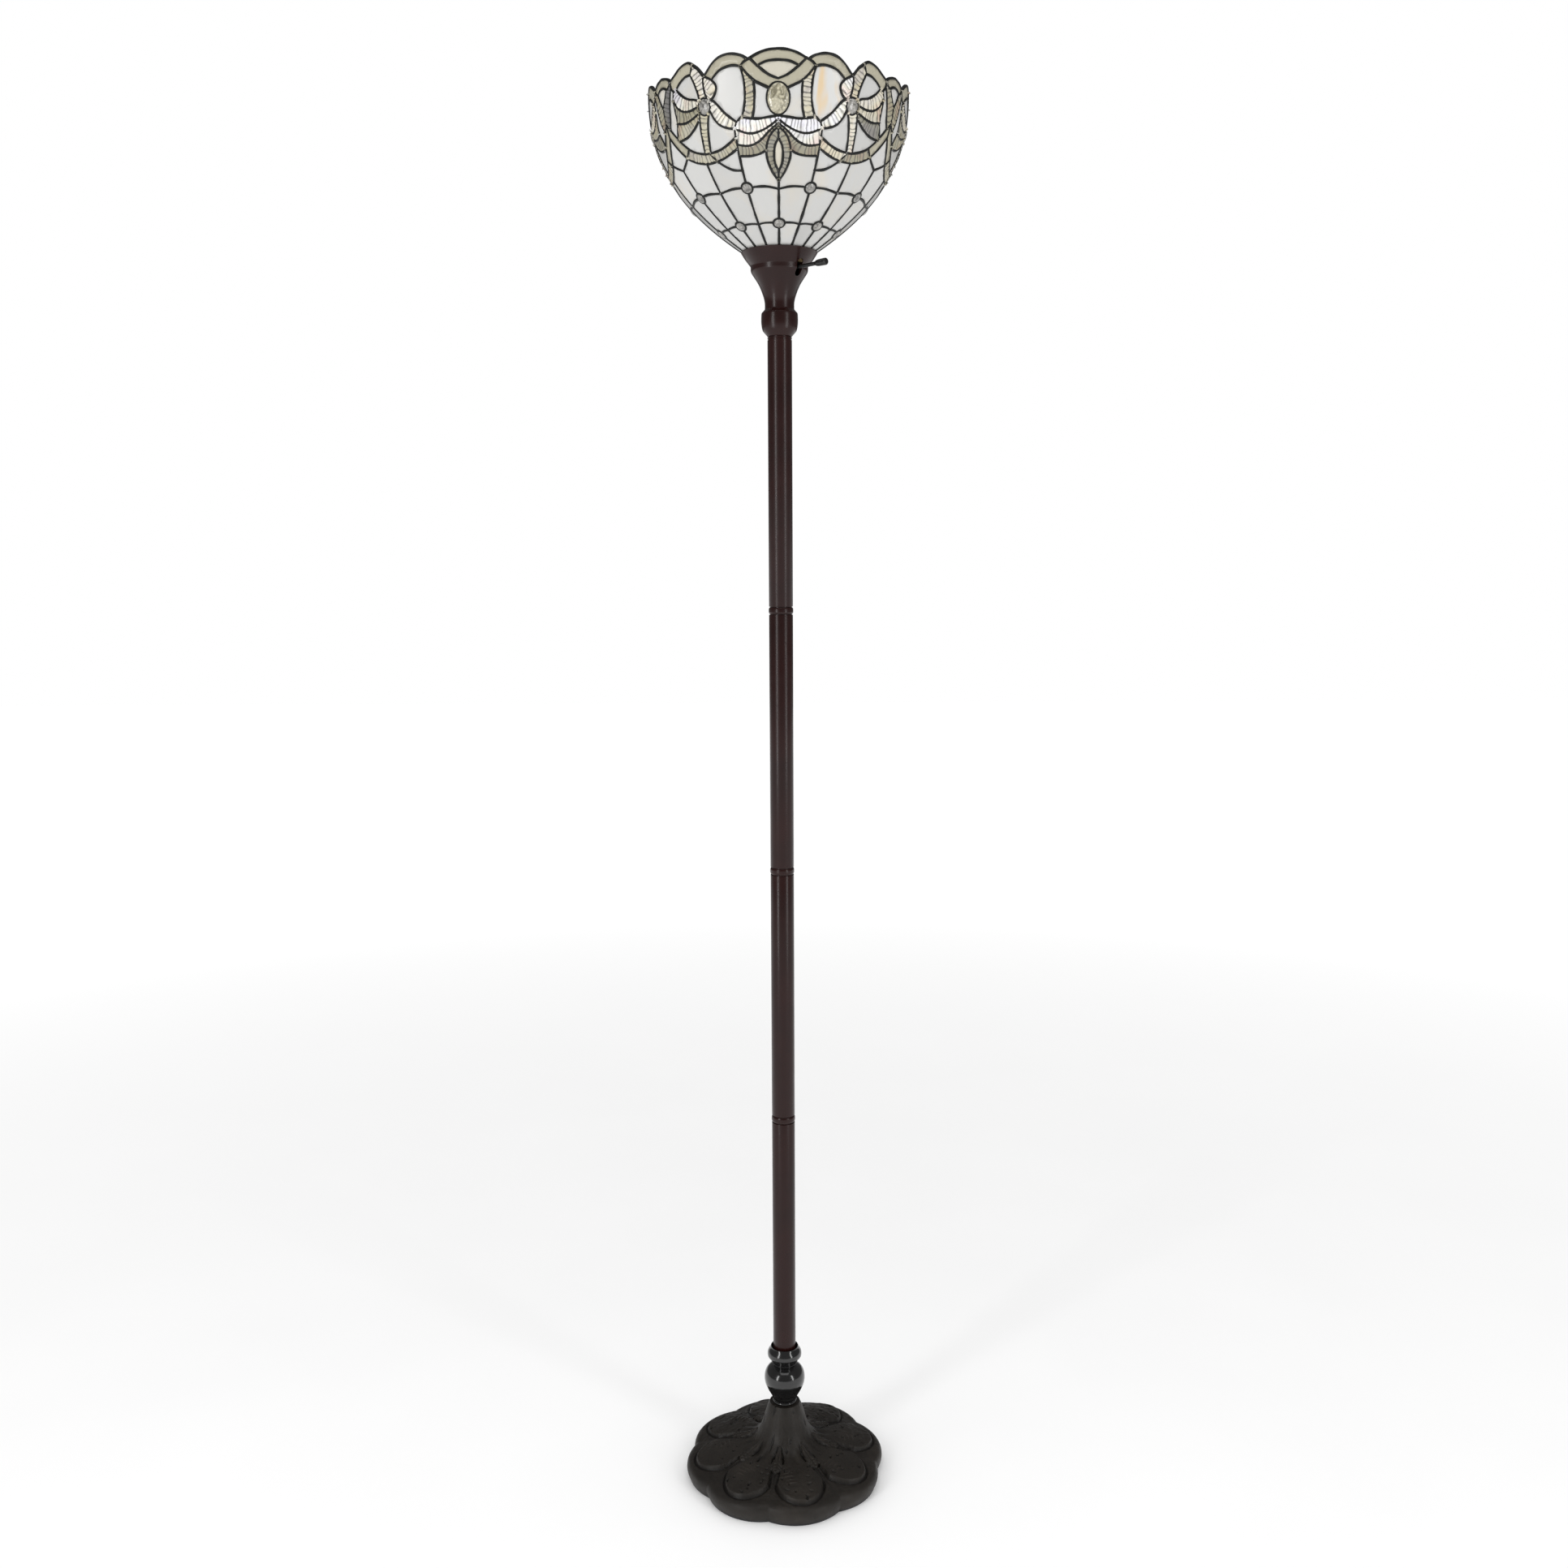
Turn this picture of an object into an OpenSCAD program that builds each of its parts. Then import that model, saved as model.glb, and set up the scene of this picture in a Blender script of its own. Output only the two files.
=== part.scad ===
// Torchiere floor lamp: a leaded-glass bowl on a four-section pole, with a neck ball and a
// cast eight-lobed foot. The origin is at the bottom centre of the foot, +Z up.

/* [Foot] */
// Diameter of the foot over its lobes
base_d = 268; // [220:1:320]
// Radius of the circle that rounds each lobe
lobe_r = 75; // [66:1:90]
// Height of the foot's side wall above the felt
rim_h = 22; // [20:0.5:26]
// Rise of the foot's sloping top, from the side wall to the plateau
slope_h = 16; // [8:0.5:24]
// Height of the trumpet cone above the plateau
cone_h = 57; // [45:1:75]
// Radius of the plateau that the cone grows from
plateau_r = 60; // [48:1:66]
// Radius of the top of the cone
cone_top_r = 20; // [14:0.5:24]
// Height that the petals stand proud of the slope
petal_t = 3; // [1:0.5:5]
// Wall between the foot's cavity and its notches
foot_wall = 8; // [6:0.5:11]
// Thickness of the felt pad
felt_t = 2; // [1:0.5:4]

/* [Neck] */
// Largest diameter of the neck ball
ball_d = 55; // [48:0.5:64]
// Height of the neck ball
ball_h = 50; // [42:1:60]
// Thickness of the thin ring under the ball
shim_h = 4; // [3:0.5:6]
// Largest diameter of the neck ring
neck_ring_d = 46; // [42:0.5:56]
// Height of the neck ring
neck_ring_h = 26; // [22:0.5:32]
// Depth that the pole stands in the neck ring
pole_seat = 12; // [8:0.5:16]

/* [Pole] */
// Length of one pole section, joint centre to joint centre
section_l = 332; // [260:1:400]
// Outer diameter of the pole tubes
pole_d = 30; // [26:0.5:36]
// Wall of the pole tubes
pole_wall = 1.2; // [0.8:0.1:2]
// Height of the band at each pole joint
band_h = 10; // [6:0.5:16]
// Length of the threaded insert in each tube end
insert_l = 24; // [16:1:36]
// Diameter of the couplers that join the tubes
coupler_d = 16; // [14:0.5:18]

/* [Tie rod and nipple] */
// Diameter of the hollow tie rod and of the top nipple
rod_d = 10; // [9.5:0.5:11.5]
// Bore of the hollow tie rod and of the top nipple
rod_bore_d = 6.4; // [5:0.2:7]
// Width across the flats of the lock nuts
nut_af = 17; // [15:0.5:19]
// Height of the lock nuts
nut_h = 4.2; // [3.6:0.2:5]

/* [Cup] */
// Height of the knob-shaped collar under the cup
knob_h = 34; // [30:1:42]
// Largest diameter of the knob-shaped collar
knob_d = 45; // [42:0.5:54]
// Height of the fitter cup
cup_h = 66; // [62:0.5:76]
// Diameter of the cup's flared lip
lip_d = 92.8; // [88:0.2:100]
// Wall of the fitter cup
cup_wall = 1.5; // [1:0.1:2]
// Diameter of the shoulder below the lip
shoulder_d = 70; // [58:0.5:76]

/* [Socket and key] */
// Outer diameter of the socket shell
socket_d = 34; // [32:0.5:36]
// Height of the key's axis above the foot of the cup
key_rise = 45; // [41:0.5:46]
// Distance from the lamp's axis to the end of the key
key_reach = 79; // [66:1:90]
// Diameter of the key's shaft
key_shaft_d = 4.4; // [3.4:0.1:5]
// Largest diameter of the key's knob
key_knob_d = 8.4; // [7:0.2:9]
// Length of the key's knob
key_knob_l = 22; // [16:0.5:28]
// Direction of the key around the lamp, from +X
key_angle = -45; // [-180:1:180]

/* [Bulb] */
// Diameter of the bulb's glass
bulb_d = 60; // [50:1:64]
// Length of the bulb, from its contact to its crown
bulb_l = 112; // [104:1:124]
// Diameter of the bulb's screw cap
cap_d = 26; // [25.5:0.1:26.5]

/* [Shade] */
// Diameter of the bowl at its rim
shade_d = 310; // [280:1:380]
// Height of the bowl, from its bottom edge to its highest scallop
shade_h = 188; // [170:1:210]
// Diameter of the bowl at its bottom edge
shade_foot_d = 78; // [74:0.5:80]
// Thickness of the glass
glass_t = 3; // [2:0.1:4]
// Height of the first came ring above the bowl's bottom edge
ring_1_h = 53.5; // [48:0.5:60]
// Height of the second came ring
ring_2_h = 80; // [74:0.5:92]
// Height of the third came ring
ring_3_h = 123; // [112:0.5:126]
// Width of the lead came between two panes
came_w = 4; // [3:0.1:6]
// Depth of the lead came across the glass
came_t = 5; // [4.4:0.1:6]
// Radius of the circle that cuts each scallop of the rim
scallop_r = 38; // [34:1:60]
// Height of the lower row of round jewels above the bowl's bottom edge
low_jewel_h = 22.5; // [18:0.5:28]
// Diameter of the lower row of round jewels
low_jewel_d = 13; // [10:0.5:16]
// Diameter of the upper row of round jewels
top_jewel_d = 13; // [10:0.5:16]
// Width of the oval jewels near the rim
oval_w = 25; // [20:0.5:30]
// Height of the oval jewels
oval_h = 32; // [30.5:0.5:38]
// Diameter of the bow-knot jewels
bow_jewel_d = 15; // [12:0.5:18]
// Height of the rim jewels' centres above the bowl's bottom edge
rim_jewel_h = 142; // [140:0.5:146]
// Turn of each bow-knot jewel from its oval jewel
bow_turn = 33.5; // [31:0.5:36]

/* [Clearances] */
// Radial clearance between fixed pieces that slip together
slip = 0.1; // [0.05:0.05:0.2]
// Radial clearance of the key's shaft in its bush
running = 0.05; // [0.03:0.01:0.08]

/* [Hidden] */
$fn = 96;
LOBES = 8;
COLUMNS = 18;
REPEATS = 3;
FRONT = -90;
TIERS = 4;
TERMINAL_D = 3;
STEPS = 6;

// Heights of the foot
rim_z = felt_t + rim_h;
plateau_z = rim_z + slope_h;
cone_z = plateau_z + cone_h;
lobe_at = base_d / 2 - lobe_r;
notch_r = lobe_at * cos(180 / LOBES) + sqrt(pow(lobe_r, 2) - pow(lobe_at * sin(180 / LOBES), 2));
notch_angle = -10;
cavity_r = notch_r - foot_wall;
shelf_z = felt_t + 17;
roof = 7;

// What is clamped in the foot, from the bottom up
rod_z = felt_t + 3;
nut_z = rod_z + 1.5;
washer_z = nut_z + nut_h;
washer_h = 1.3;
plate_z = washer_z + washer_h;
plate_h = 1.5;
weight_z = plate_z + plate_h;
weight_top_z = rim_z + 2;

// The outlet in the side of the foot
outlet_angle = 90 + 45 / 2 - 10;
outlet_z = felt_t + 6.4;
outlet_hole_d = 10;
outlet_bore_d = 6.6;
outlet_flange_d = 12.4;
outlet_flange_h = 1.5;
outlet_face_r = base_d / 2 - 2.5;

// Heights of the neck and the pole
ball_z = cone_z + shim_h;
neck_z = ball_z + ball_h;
pole_z = neck_z + neck_ring_h - pole_seat;
pole_top = pole_z + 4 * section_l;
tube_in_d = pole_d - 2 * pole_wall;

// Heights of the cup and what it holds
cup_neck_r = pole_d / 2 + 3;
cup_z = pole_top + knob_h;
floor_z = cup_z + 3;
lip_z = cup_z + cup_h;
shoulder_z = lip_z - 17;
key_z = cup_z + key_rise;
cap_z = floor_z + nut_h + 1;
cap_h = 18;
socket_z = cap_z + cap_h;
socket_top = lip_z + 18;
seat_z = shoulder_z + 1.5;
seat_t = 1.5;
shade_z = lip_z - 3;
shade_top = shade_z + shade_h;
nipple_z = pole_top - insert_l;
nipple_top = cap_z + 6;

// The bulb and its screw shell
shell_wall = 0.6;
block_top = key_z + 8;
contact_z = block_top + 3.2;
glass_z = contact_z + 25;

// Outer radius of the bowl at a height above its bottom edge: steep at the rim, open at the foot
bowl_power = 2.6;
function bowl_r(h, grow = 0) =
    let (foot_share = 1 - pow(shade_foot_d / shade_d, 0.935),
         depth = shade_h / pow(foot_share, 1 / bowl_power),
         t = max(0, (shade_h - h) / depth))
    shade_d / 2 * pow(1 - pow(t, bowl_power), 1 / 0.935) + grow;

// The bowl's height at each edge between two tiers of panes
tier_h = [0, ring_1_h, ring_2_h, ring_3_h, shade_h];

// A side view of a strip of the bowl between two heights, set in and out of the outer surface
function bowl_strip(h0, h1, out, in) =
    concat([for (i = [0 : STEPS]) let (h = h0 + (h1 - h0) * i / STEPS) [bowl_r(h, out), h]],
           [for (i = [STEPS : -1 : 0]) let (h = h0 + (h1 - h0) * i / STEPS) [bowl_r(h, -in), h]]);

// The cup's lip keeps clear of the upright cames, and the ring nut keeps inside the shade cap's dish
lip_r = max(lip_d / 2, bowl_r(lip_z - shade_z, (came_t - glass_t) / 2) + cup_wall + slip);
dish_r = shoulder_d / 2 - cup_wall - 0.9;
ring_nut_r = min(socket_d / 2 + 9, dish_r - 2);

// Each bow-knot jewel rests against the upright came beside it
bow_rib = 540 / COLUMNS;
bow_at = bow_rib + min(bow_turn - bow_rib, (bow_jewel_d + came_w) / 2 / bowl_r(rim_jewel_h) * 180 / PI);

// Radius of the foot's trumpet cone at a height, and of its sloping top
function cone_r(z) = cone_top_r + (plateau_r - cone_top_r) * pow((cone_z - z) / cone_h, 2.2);
function cone_points(z0, z1, n) =
    [for (i = [0 : n]) let (z = z0 + (z1 - z0) * i / n) [cone_r(z), z]];

// One quarter wave between two radii, for turned beads and necks
function swell(r0, r1, z0, z1, n) =
    [for (i = [0 : n]) [r0 + (r1 - r0) * sin(90 * i / n), z0 + (z1 - z0) * (1 - cos(90 * i / n))]];
function swell_back(r0, r1, z0, z1, n) =
    [for (i = [0 : n]) [r0 + (r1 - r0) * (1 - cos(90 * i / n)), z0 + (z1 - z0) * sin(90 * i / n)]];

// ---- shared shapes ----

module ring(r_out, r_in, z0, z1) {
    translate([0, 0, z0]) difference() {
        cylinder(r = r_out, h = z1 - z0);
        translate([0, 0, -1]) cylinder(r = r_in, h = z1 - z0 + 2);
    }
}

module hex_nut(z, bore_d) {
    difference() {
        translate([0, 0, z]) cylinder(d = nut_af / cos(30), h = nut_h, $fn = 6);
        translate([0, 0, z - 1]) cylinder(d = bore_d, h = nut_h + 2);
    }
}

// Copies round the bowl, counted from the front
module at_columns(count = COLUMNS, first = 0) {
    for (i = [0 : count - 1]) rotate([0, 0, FRONT + first + i * 360 / count]) children();
}

// ---- foot ----

module lobed_plate(z0, z1, inset = 0) {
    translate([0, 0, z0]) linear_extrude(z1 - z0) union() {
        circle(r = notch_r - inset - 2);
        for (i = [0 : LOBES - 1])
            rotate(notch_angle + (i + 0.5) * 360 / LOBES) translate([lobe_at, 0]) circle(r = lobe_r - inset);
    }
}

// The rounded top of the foot, lifted by a height
module foot_dome(lift) {
    edge = base_d / 2;
    rotate_extrude() polygon(concat(
        [[0, felt_t], [edge, felt_t], [edge, rim_z - 8 + lift], [edge - 2, rim_z - 4 + lift],
         [edge - 7, rim_z - 1 + lift], [edge - 12, rim_z + lift], [edge - 36, rim_z + 5 + lift]],
        [for (p = cone_points(plateau_z, cone_z, 10)) [p[0], min(p[1] + lift, cone_z)]],
        [[0, cone_z]]));
}

module petal_outline() {
    circle_at = base_d / 2 - 43;
    end_r = (circle_at * sin(180 / LOBES) - 4) * cos(180 / LOBES) + 2;
    translate([circle_at, 0]) circle(r = end_r);
    polygon([[plateau_r - 14, -9], [circle_at, -end_r], [circle_at, end_r], [plateau_r - 14, 9]]);
}

module leaf_outline() {
    tip = plateau_r + 12;
    foot = plateau_r - 16;
    span = tip - foot;
    side = [for (k = [0 : 3]) each [
        [foot + span * (k + 0.1) / 4.4, 3 + 0.6 * k], [foot + span * (k + 0.75) / 4.4, 7 - 0.5 * k]]];
    other_side = [for (i = [len(side) - 1 : -1 : 0]) [side[i][0], -side[i][1]]];
    polygon(concat([[foot, 0]], side, [[tip, 0]], other_side));
}

module felt_pad() {
    color("#2a2a2a") lobed_plate(0, felt_t, 4);
}

module base_casting() {
    color("#332e2a") difference() {
        union() {
            intersection() {
                lobed_plate(felt_t, cone_z);
                foot_dome(0);
            }
            intersection() {
                foot_dome(petal_t);
                translate([0, 0, felt_t + 4]) linear_extrude(cone_z) for (i = [0 : LOBES - 1])
                    rotate(notch_angle + (i + 0.5) * 360 / LOBES) petal_outline();
            }
            intersection() {
                foot_dome(petal_t * 0.8);
                translate([0, 0, felt_t + 4]) linear_extrude(cone_z) for (i = [0 : LOBES - 1])
                    rotate(notch_angle + i * 360 / LOBES) leaf_outline();
            }
        }
        rotate_extrude() polygon(concat(
            [[0, felt_t - 1], [cavity_r, felt_t - 1], [cavity_r, shelf_z], [cavity_r - 14, shelf_z]],
            [for (p = cone_points(plateau_z, cone_z - 18, 6)) [max(p[0] - roof, rod_d / 2 + 3), p[1] - roof]],
            [[0, cone_z - 18 - roof]]));
        cylinder(d = rod_d + 2 * slip, h = cone_z + 1);
        rotate([0, 0, outlet_angle]) translate([0, 0, outlet_z]) rotate([0, 90, 0]) {
            cylinder(d = outlet_hole_d, h = base_d);
            translate([0, 0, outlet_face_r]) cylinder(d = outlet_flange_d + 2 * slip, h = base_d);
        }
    }
}

module base_weight() {
    color("#55524f") rotate_extrude() polygon([
        [rod_d / 2 + slip, weight_z], [cavity_r - 1, weight_z], [cavity_r - 1, shelf_z],
        [cavity_r - 20, shelf_z], [plateau_r - 6, weight_top_z], [rod_d / 2 + slip, weight_top_z]]);
}

module base_plate() {
    color("#9a9a96") ring(cavity_r - 1, rod_d / 2 + slip, plate_z, plate_z + plate_h);
}

module base_washer() {
    color("#b0b0ac") ring(nut_af / 2 + 3, rod_d / 2 + slip, washer_z, washer_z + washer_h);
}

module base_nut() {
    color("#b0b0ac") hex_nut(nut_z, rod_d);
}

module tie_rod() {
    color("#a8a49c") ring(rod_d / 2, rod_bore_d / 2, rod_z, pole_z + insert_l);
}

// A flanged bush, pressed in the side of the foot between two petals' lobes at the back
module outlet_bush() {
    color("#181818") rotate([0, 0, outlet_angle]) translate([0, 0, outlet_z]) rotate([0, 90, 0])
    difference() {
        union() {
            translate([0, 0, cavity_r - 0.5])
                cylinder(d = outlet_hole_d - 2 * slip, h = outlet_face_r - cavity_r + 0.5);
            translate([0, 0, outlet_face_r]) cylinder(d = outlet_flange_d, h = outlet_flange_h);
        }
        translate([0, 0, cavity_r - 1]) cylinder(d = outlet_bore_d, h = base_d);
    }
}

// ---- neck ----

module ball_ring() {
    bead_r = cone_top_r - 4;
    color("#141312") rotate_extrude() polygon([
        [rod_d / 2 + slip, cone_z], [bead_r - 1, cone_z], [bead_r, cone_z + shim_h * 0.3],
        [bead_r, cone_z + shim_h * 0.7], [bead_r - 1, ball_z], [rod_d / 2 + slip, ball_z]]);
}

// The ball swells from its foot to its widest place a little above the middle, then closes in
module neck_ball() {
    wide_z = ball_z + ball_h * 0.5;
    foot_r = cone_top_r - 3;
    top_r = pole_d / 2 - 0.5;
    wall = 3;
    lower = [for (i = [0 : 10]) let (t = i / 10)
        [foot_r + (ball_d / 2 - foot_r) * pow(sin(90 * t), 1.25), ball_z + (wide_z - ball_z) * t]];
    upper = [for (i = [1 : 8]) let (a = 90 * i / 8)
        [top_r + (ball_d / 2 - top_r) * cos(a), wide_z + (neck_z - wide_z) * sin(a)]];
    color("#0e0d0d") rotate_extrude() difference() {
        polygon(concat([[rod_d / 2 + slip, ball_z]], lower, upper, [[rod_d / 2 + slip, neck_z]]));
        polygon(concat(
            [for (i = [3 : 10]) [max(lower[i][0] - wall, rod_d / 2 + 2), lower[i][1]]],
            [for (i = [0 : 4]) [max(upper[i][0] - wall, rod_d / 2 + 2), upper[i][1]]],
            [[rod_d / 2 + 2, upper[4][1]], [rod_d / 2 + 2, lower[3][1]]]));
    }
}

module neck_ring() {
    top_z = neck_z + neck_ring_h;
    wide_z = neck_z + neck_ring_h * 0.52;
    waist_r = pole_d / 2 + 1;
    color("#151413") rotate_extrude() polygon(concat(
        [[rod_d / 2 + slip, neck_z], [waist_r - 1.5, neck_z], [waist_r, neck_z + 2]],
        swell(waist_r, neck_ring_d / 2, neck_z + 3, wide_z - 2, 6),
        swell_back(neck_ring_d / 2, pole_d / 2 + 2.5, wide_z + 2, top_z, 6),
        [[pole_d / 2 + slip, top_z], [pole_d / 2 + slip, pole_z], [rod_d / 2 + slip, pole_z]]));
}

// ---- pole ----

module pole_foot_insert() {
    color("#a8a49c") ring(tube_in_d / 2, rod_d / 2, pole_z, pole_z + insert_l);
}

module pole_tube(i) {
    low = i == 1 ? pole_z : pole_z + (i - 1) * section_l + band_h / 2;
    high = i == 4 ? pole_top : pole_z + i * section_l - band_h / 2;
    color("#3a2a26") ring(pole_d / 2, tube_in_d / 2, low, high);
}

// A band with softly rounded sides; the step at each end shows as a groove
module joint_band(i) {
    z = pole_z + i * section_l;
    r = pole_d / 2;
    color("#3a2a26") rotate_extrude() polygon([
        [coupler_d / 2 + slip, z - band_h / 2], [r - 1, z - band_h / 2], [r - 1, z - band_h / 2 + 0.8],
        [r, z - band_h / 2 + 1.4], [r + 0.4, z - band_h / 5], [r + 0.4, z + band_h / 5],
        [r, z + band_h / 2 - 1.4], [r - 1, z + band_h / 2 - 0.8], [r - 1, z + band_h / 2],
        [coupler_d / 2 + slip, z + band_h / 2]]);
}

// A threaded insert above and below every band
module tube_inserts() {
    color("#a8a49c") for (i = [1 : 3]) {
        z = pole_z + i * section_l;
        ring(tube_in_d / 2, coupler_d / 2, z - band_h / 2 - insert_l, z - band_h / 2);
        ring(tube_in_d / 2, coupler_d / 2, z + band_h / 2, z + band_h / 2 + insert_l);
    }
}

module pole_couplers() {
    reach = band_h / 2 + insert_l - 2;
    color("#8e8a84") for (i = [1 : 3])
        translate([0, 0, pole_z + i * section_l]) ring(coupler_d / 2, coupler_d / 2 - 2.5, -reach, reach);
}

// The pole's top insert and the hollow nipple are one turned piece
module top_nipple() {
    color("#a8a49c") difference() {
        union() {
            translate([0, 0, nipple_z]) cylinder(r = tube_in_d / 2, h = insert_l);
            translate([0, 0, nipple_z]) cylinder(d = rod_d, h = nipple_top - nipple_z);
        }
        translate([0, 0, nipple_z - 1]) cylinder(d = rod_bore_d, h = nipple_top - nipple_z + 2);
    }
}

// ---- cup ----

module cup_knob() {
    r = pole_d / 2;
    side_r = knob_d / 2;
    color("#32241f") rotate_extrude() polygon([
        [rod_d / 2 + slip, pole_top], [r - 1, pole_top], [r + 0.3, pole_top + 1.2], [r + 1, pole_top + 2.6],
        [side_r - 1.8, pole_top + knob_h * 0.23], [side_r - 0.3, pole_top + knob_h * 0.4],
        [side_r, pole_top + knob_h * 0.6], [side_r - 0.3, pole_top + knob_h * 0.84],
        [cup_neck_r + 0.4, cup_z - 1], [cup_neck_r, cup_z], [rod_d / 2 + slip, cup_z]]);
}

// A spun cup: a thick floor, a wall that opens upwards, a shoulder and a flared lip
module fitter_cup() {
    shoulder_r = shoulder_d / 2;
    bell_h = (shoulder_z - cup_z) * 0.87;
    wall = [for (i = [0 : 8]) let (t = i / 8)
        [cup_neck_r + (shoulder_r - cup_neck_r) * t * t, cup_z + bell_h * t]];
    color("#32241f") difference() {
        rotate_extrude() polygon(concat(
            [[rod_d / 2 + slip, cup_z]],
            wall,
            [[shoulder_r, shoulder_z], [shoulder_r + 0.6, shoulder_z + 1], [lip_r, lip_z - 0.6],
             [lip_r - 0.4, lip_z], [lip_r - cup_wall, lip_z],
             [shoulder_r + 0.4 - cup_wall, seat_z + 0.8], [shoulder_r - 0.2 - cup_wall, seat_z],
             [shoulder_r - 5, seat_z], [shoulder_r - 5, shoulder_z - 1]],
            [for (i = [7 : -1 : 2]) [wall[i][0] - cup_wall - 0.4, wall[i][1]]],
            [[wall[1][0] - cup_wall - 0.4, floor_z], [rod_d / 2 + slip, floor_z]]));
        rotate([0, 0, key_angle]) translate([0, 0, key_z]) rotate([0, 90, 0]) linear_extrude(shoulder_d)
            union() {
                translate([-5, 0]) circle(d = 9);
                translate([5, 0]) circle(d = 9);
                square([10, 9], center = true);
            }
    }
}

module cup_nut() {
    color("#b0b0ac") hex_nut(floor_z, rod_d);
}

// ---- socket ----

module socket_cap() {
    color("#a8843c") rotate_extrude() polygon([
        [rod_d / 2, cap_z], [rod_d / 2 + 3, cap_z], [socket_d / 2 - 3, cap_z + 5],
        [socket_d / 2, cap_z + 9], [socket_d / 2, socket_z], [socket_d / 2 - 0.8, socket_z],
        [socket_d / 2 - 0.8, cap_z + 9.5], [socket_d / 2 - 3.6, cap_z + 6], [rod_d / 2 + 3, cap_z + 1.2],
        [rod_d / 2 + 3, nipple_top], [rod_d / 2, nipple_top]]);
}

module key_hole() {
    rotate([0, 0, key_angle]) translate([0, 0, key_z]) rotate([0, 90, 0])
        cylinder(d = key_shaft_d + 2, h = shoulder_d);
}

module socket_shell() {
    color("#a8843c") difference() {
        ring(socket_d / 2, socket_d / 2 - shell_wall, socket_z, socket_top);
        key_hole();
    }
}

module socket_liner() {
    liner_r = socket_d / 2 - shell_wall - slip;
    color("#8a7a5a") difference() {
        ring(liner_r, liner_r - 1, socket_z, socket_top - 1);
        key_hole();
    }
}

module at_terminals() {
    for (a = [60, 240]) rotate([0, 0, key_angle + a])
        translate([socket_d / 2 - shell_wall - 2 * slip - 4, 0, socket_z]) children();
}

// The moulded block that holds the switch: a chamber for the cam, a bush for the key's shaft
module switch_block() {
    r = socket_d / 2 - shell_wall - 2 * slip - 1;
    color("#e4ddca") difference() {
        translate([0, 0, socket_z]) cylinder(r = r, h = block_top - socket_z);
        translate([0, 0, key_z]) rotate([0, 0, key_angle]) {
            rotate([0, 90, 0]) cylinder(d = key_shaft_d + 2 * running, h = socket_d);
            rotate([0, 90, 0]) cylinder(d = 11, h = 6);
        }
        at_terminals() translate([0, 0, -1]) cylinder(d = TERMINAL_D, h = block_top - socket_z + 2);
    }
}

module screw_shell() {
    color("#c49a4a") ring(cap_d / 2 + 1, cap_d / 2 + 0.4, block_top, socket_top - 4);
}

module centre_contact() {
    color("#c49a4a") translate([-3, -2.5, block_top]) cube([6, 5, contact_z - block_top - 0.3]);
}

module terminal_screws() {
    color("#b0b0ac") at_terminals() union() {
        cylinder(d = TERMINAL_D - 2 * slip, h = block_top - socket_z);
        translate([0, 0, -1.4]) cylinder(d = TERMINAL_D + 2, h = 1.4);
    }
}

// Two short wires that bend from the switch's screws towards the nipple
module switch_wires() {
    bend = 5;
    color("#e8e4da") at_terminals() translate([-bend, 0, -1.4]) rotate([-90, 0, 0])
        rotate_extrude(angle = 90) translate([bend, 0]) circle(d = 2);
}

module key_shaft() {
    color("#8e8a84") rotate([0, 0, key_angle]) translate([0, 0, key_z]) rotate([0, 90, 0]) union() {
        translate([0, 0, 0.6]) cylinder(d = 9, h = 4.6, $fn = 8);
        translate([0, 0, 0.6]) cylinder(d = key_shaft_d, h = key_reach - key_knob_l / 2);
    }
}

module key_knob() {
    r = key_knob_d / 2;
    foot = key_reach - key_knob_l;
    color("#101010") rotate([0, 0, key_angle]) translate([0, 0, key_z]) rotate([0, 90, 0]) rotate_extrude()
        polygon([
            [key_shaft_d / 2, foot], [r * 0.72, foot], [r * 0.86, foot + 1.5], [r, foot + 7],
            [r, key_reach - 2], [r * 0.8, key_reach - 0.5], [r * 0.6, key_reach], [0, key_reach],
            [0, key_reach - key_knob_l / 2 + 0.6], [key_shaft_d / 2, key_reach - key_knob_l / 2 + 0.6]]);
}

// ---- shade ----

// A dished plate that closes the bottom of the bowl and sits on the cup's shoulder
module shade_cap() {
    rim_r = shade_foot_d / 2;
    color("#6a5a3a") rotate_extrude() polygon([
        [socket_d / 2 + slip, seat_z], [dish_r, seat_z], [rim_r, shade_z - 0.8], [rim_r, shade_z],
        [rim_r - glass_t, shade_z], [dish_r - 1.5, seat_z + seat_t], [socket_d / 2 + slip, seat_z + seat_t]]);
}

module ring_nut() {
    color("#b99a58") difference() {
        ring(ring_nut_r, socket_d / 2 + slip, seat_z + seat_t, seat_z + seat_t + 5);
        at_columns(12) translate([ring_nut_r + 0.6, 0, seat_z + seat_t - 1]) cylinder(d = 3, h = 7);
    }
}

// Half the turn that a came takes up between two panes of a tier
function came_turn(tier) = came_w / 2 / bowl_r((tier_h[tier - 1] + tier_h[tier]) / 2) * 180 / PI;

// One pane: a turn of the bowl's wall between two tiers' edges, less half a came all round
module pane(tier) {
    low = tier_h[tier - 1] + (tier == 1 ? 0 : came_w / 2);
    high = tier_h[tier] - (tier == TIERS ? 0 : came_w / 2);
    gap = came_turn(tier);
    translate([0, 0, shade_z]) rotate([0, 0, gap]) rotate_extrude(angle = 360 / COLUMNS - 2 * gap)
        polygon(bowl_strip(low, high, 0, glass_t));
}

// A frame at a height on the bowl, its Z pointing out of the glass
module on_bowl(h) {
    tilt = atan2(bowl_r(h + 2) - bowl_r(h - 2), 4);
    translate([bowl_r(h), 0, shade_z + h]) rotate([0, 90 + tilt, 0]) children();
}

module low_jewel_sites() {
    at_columns(COLUMNS / 2) on_bowl(low_jewel_h) children();
}

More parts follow.
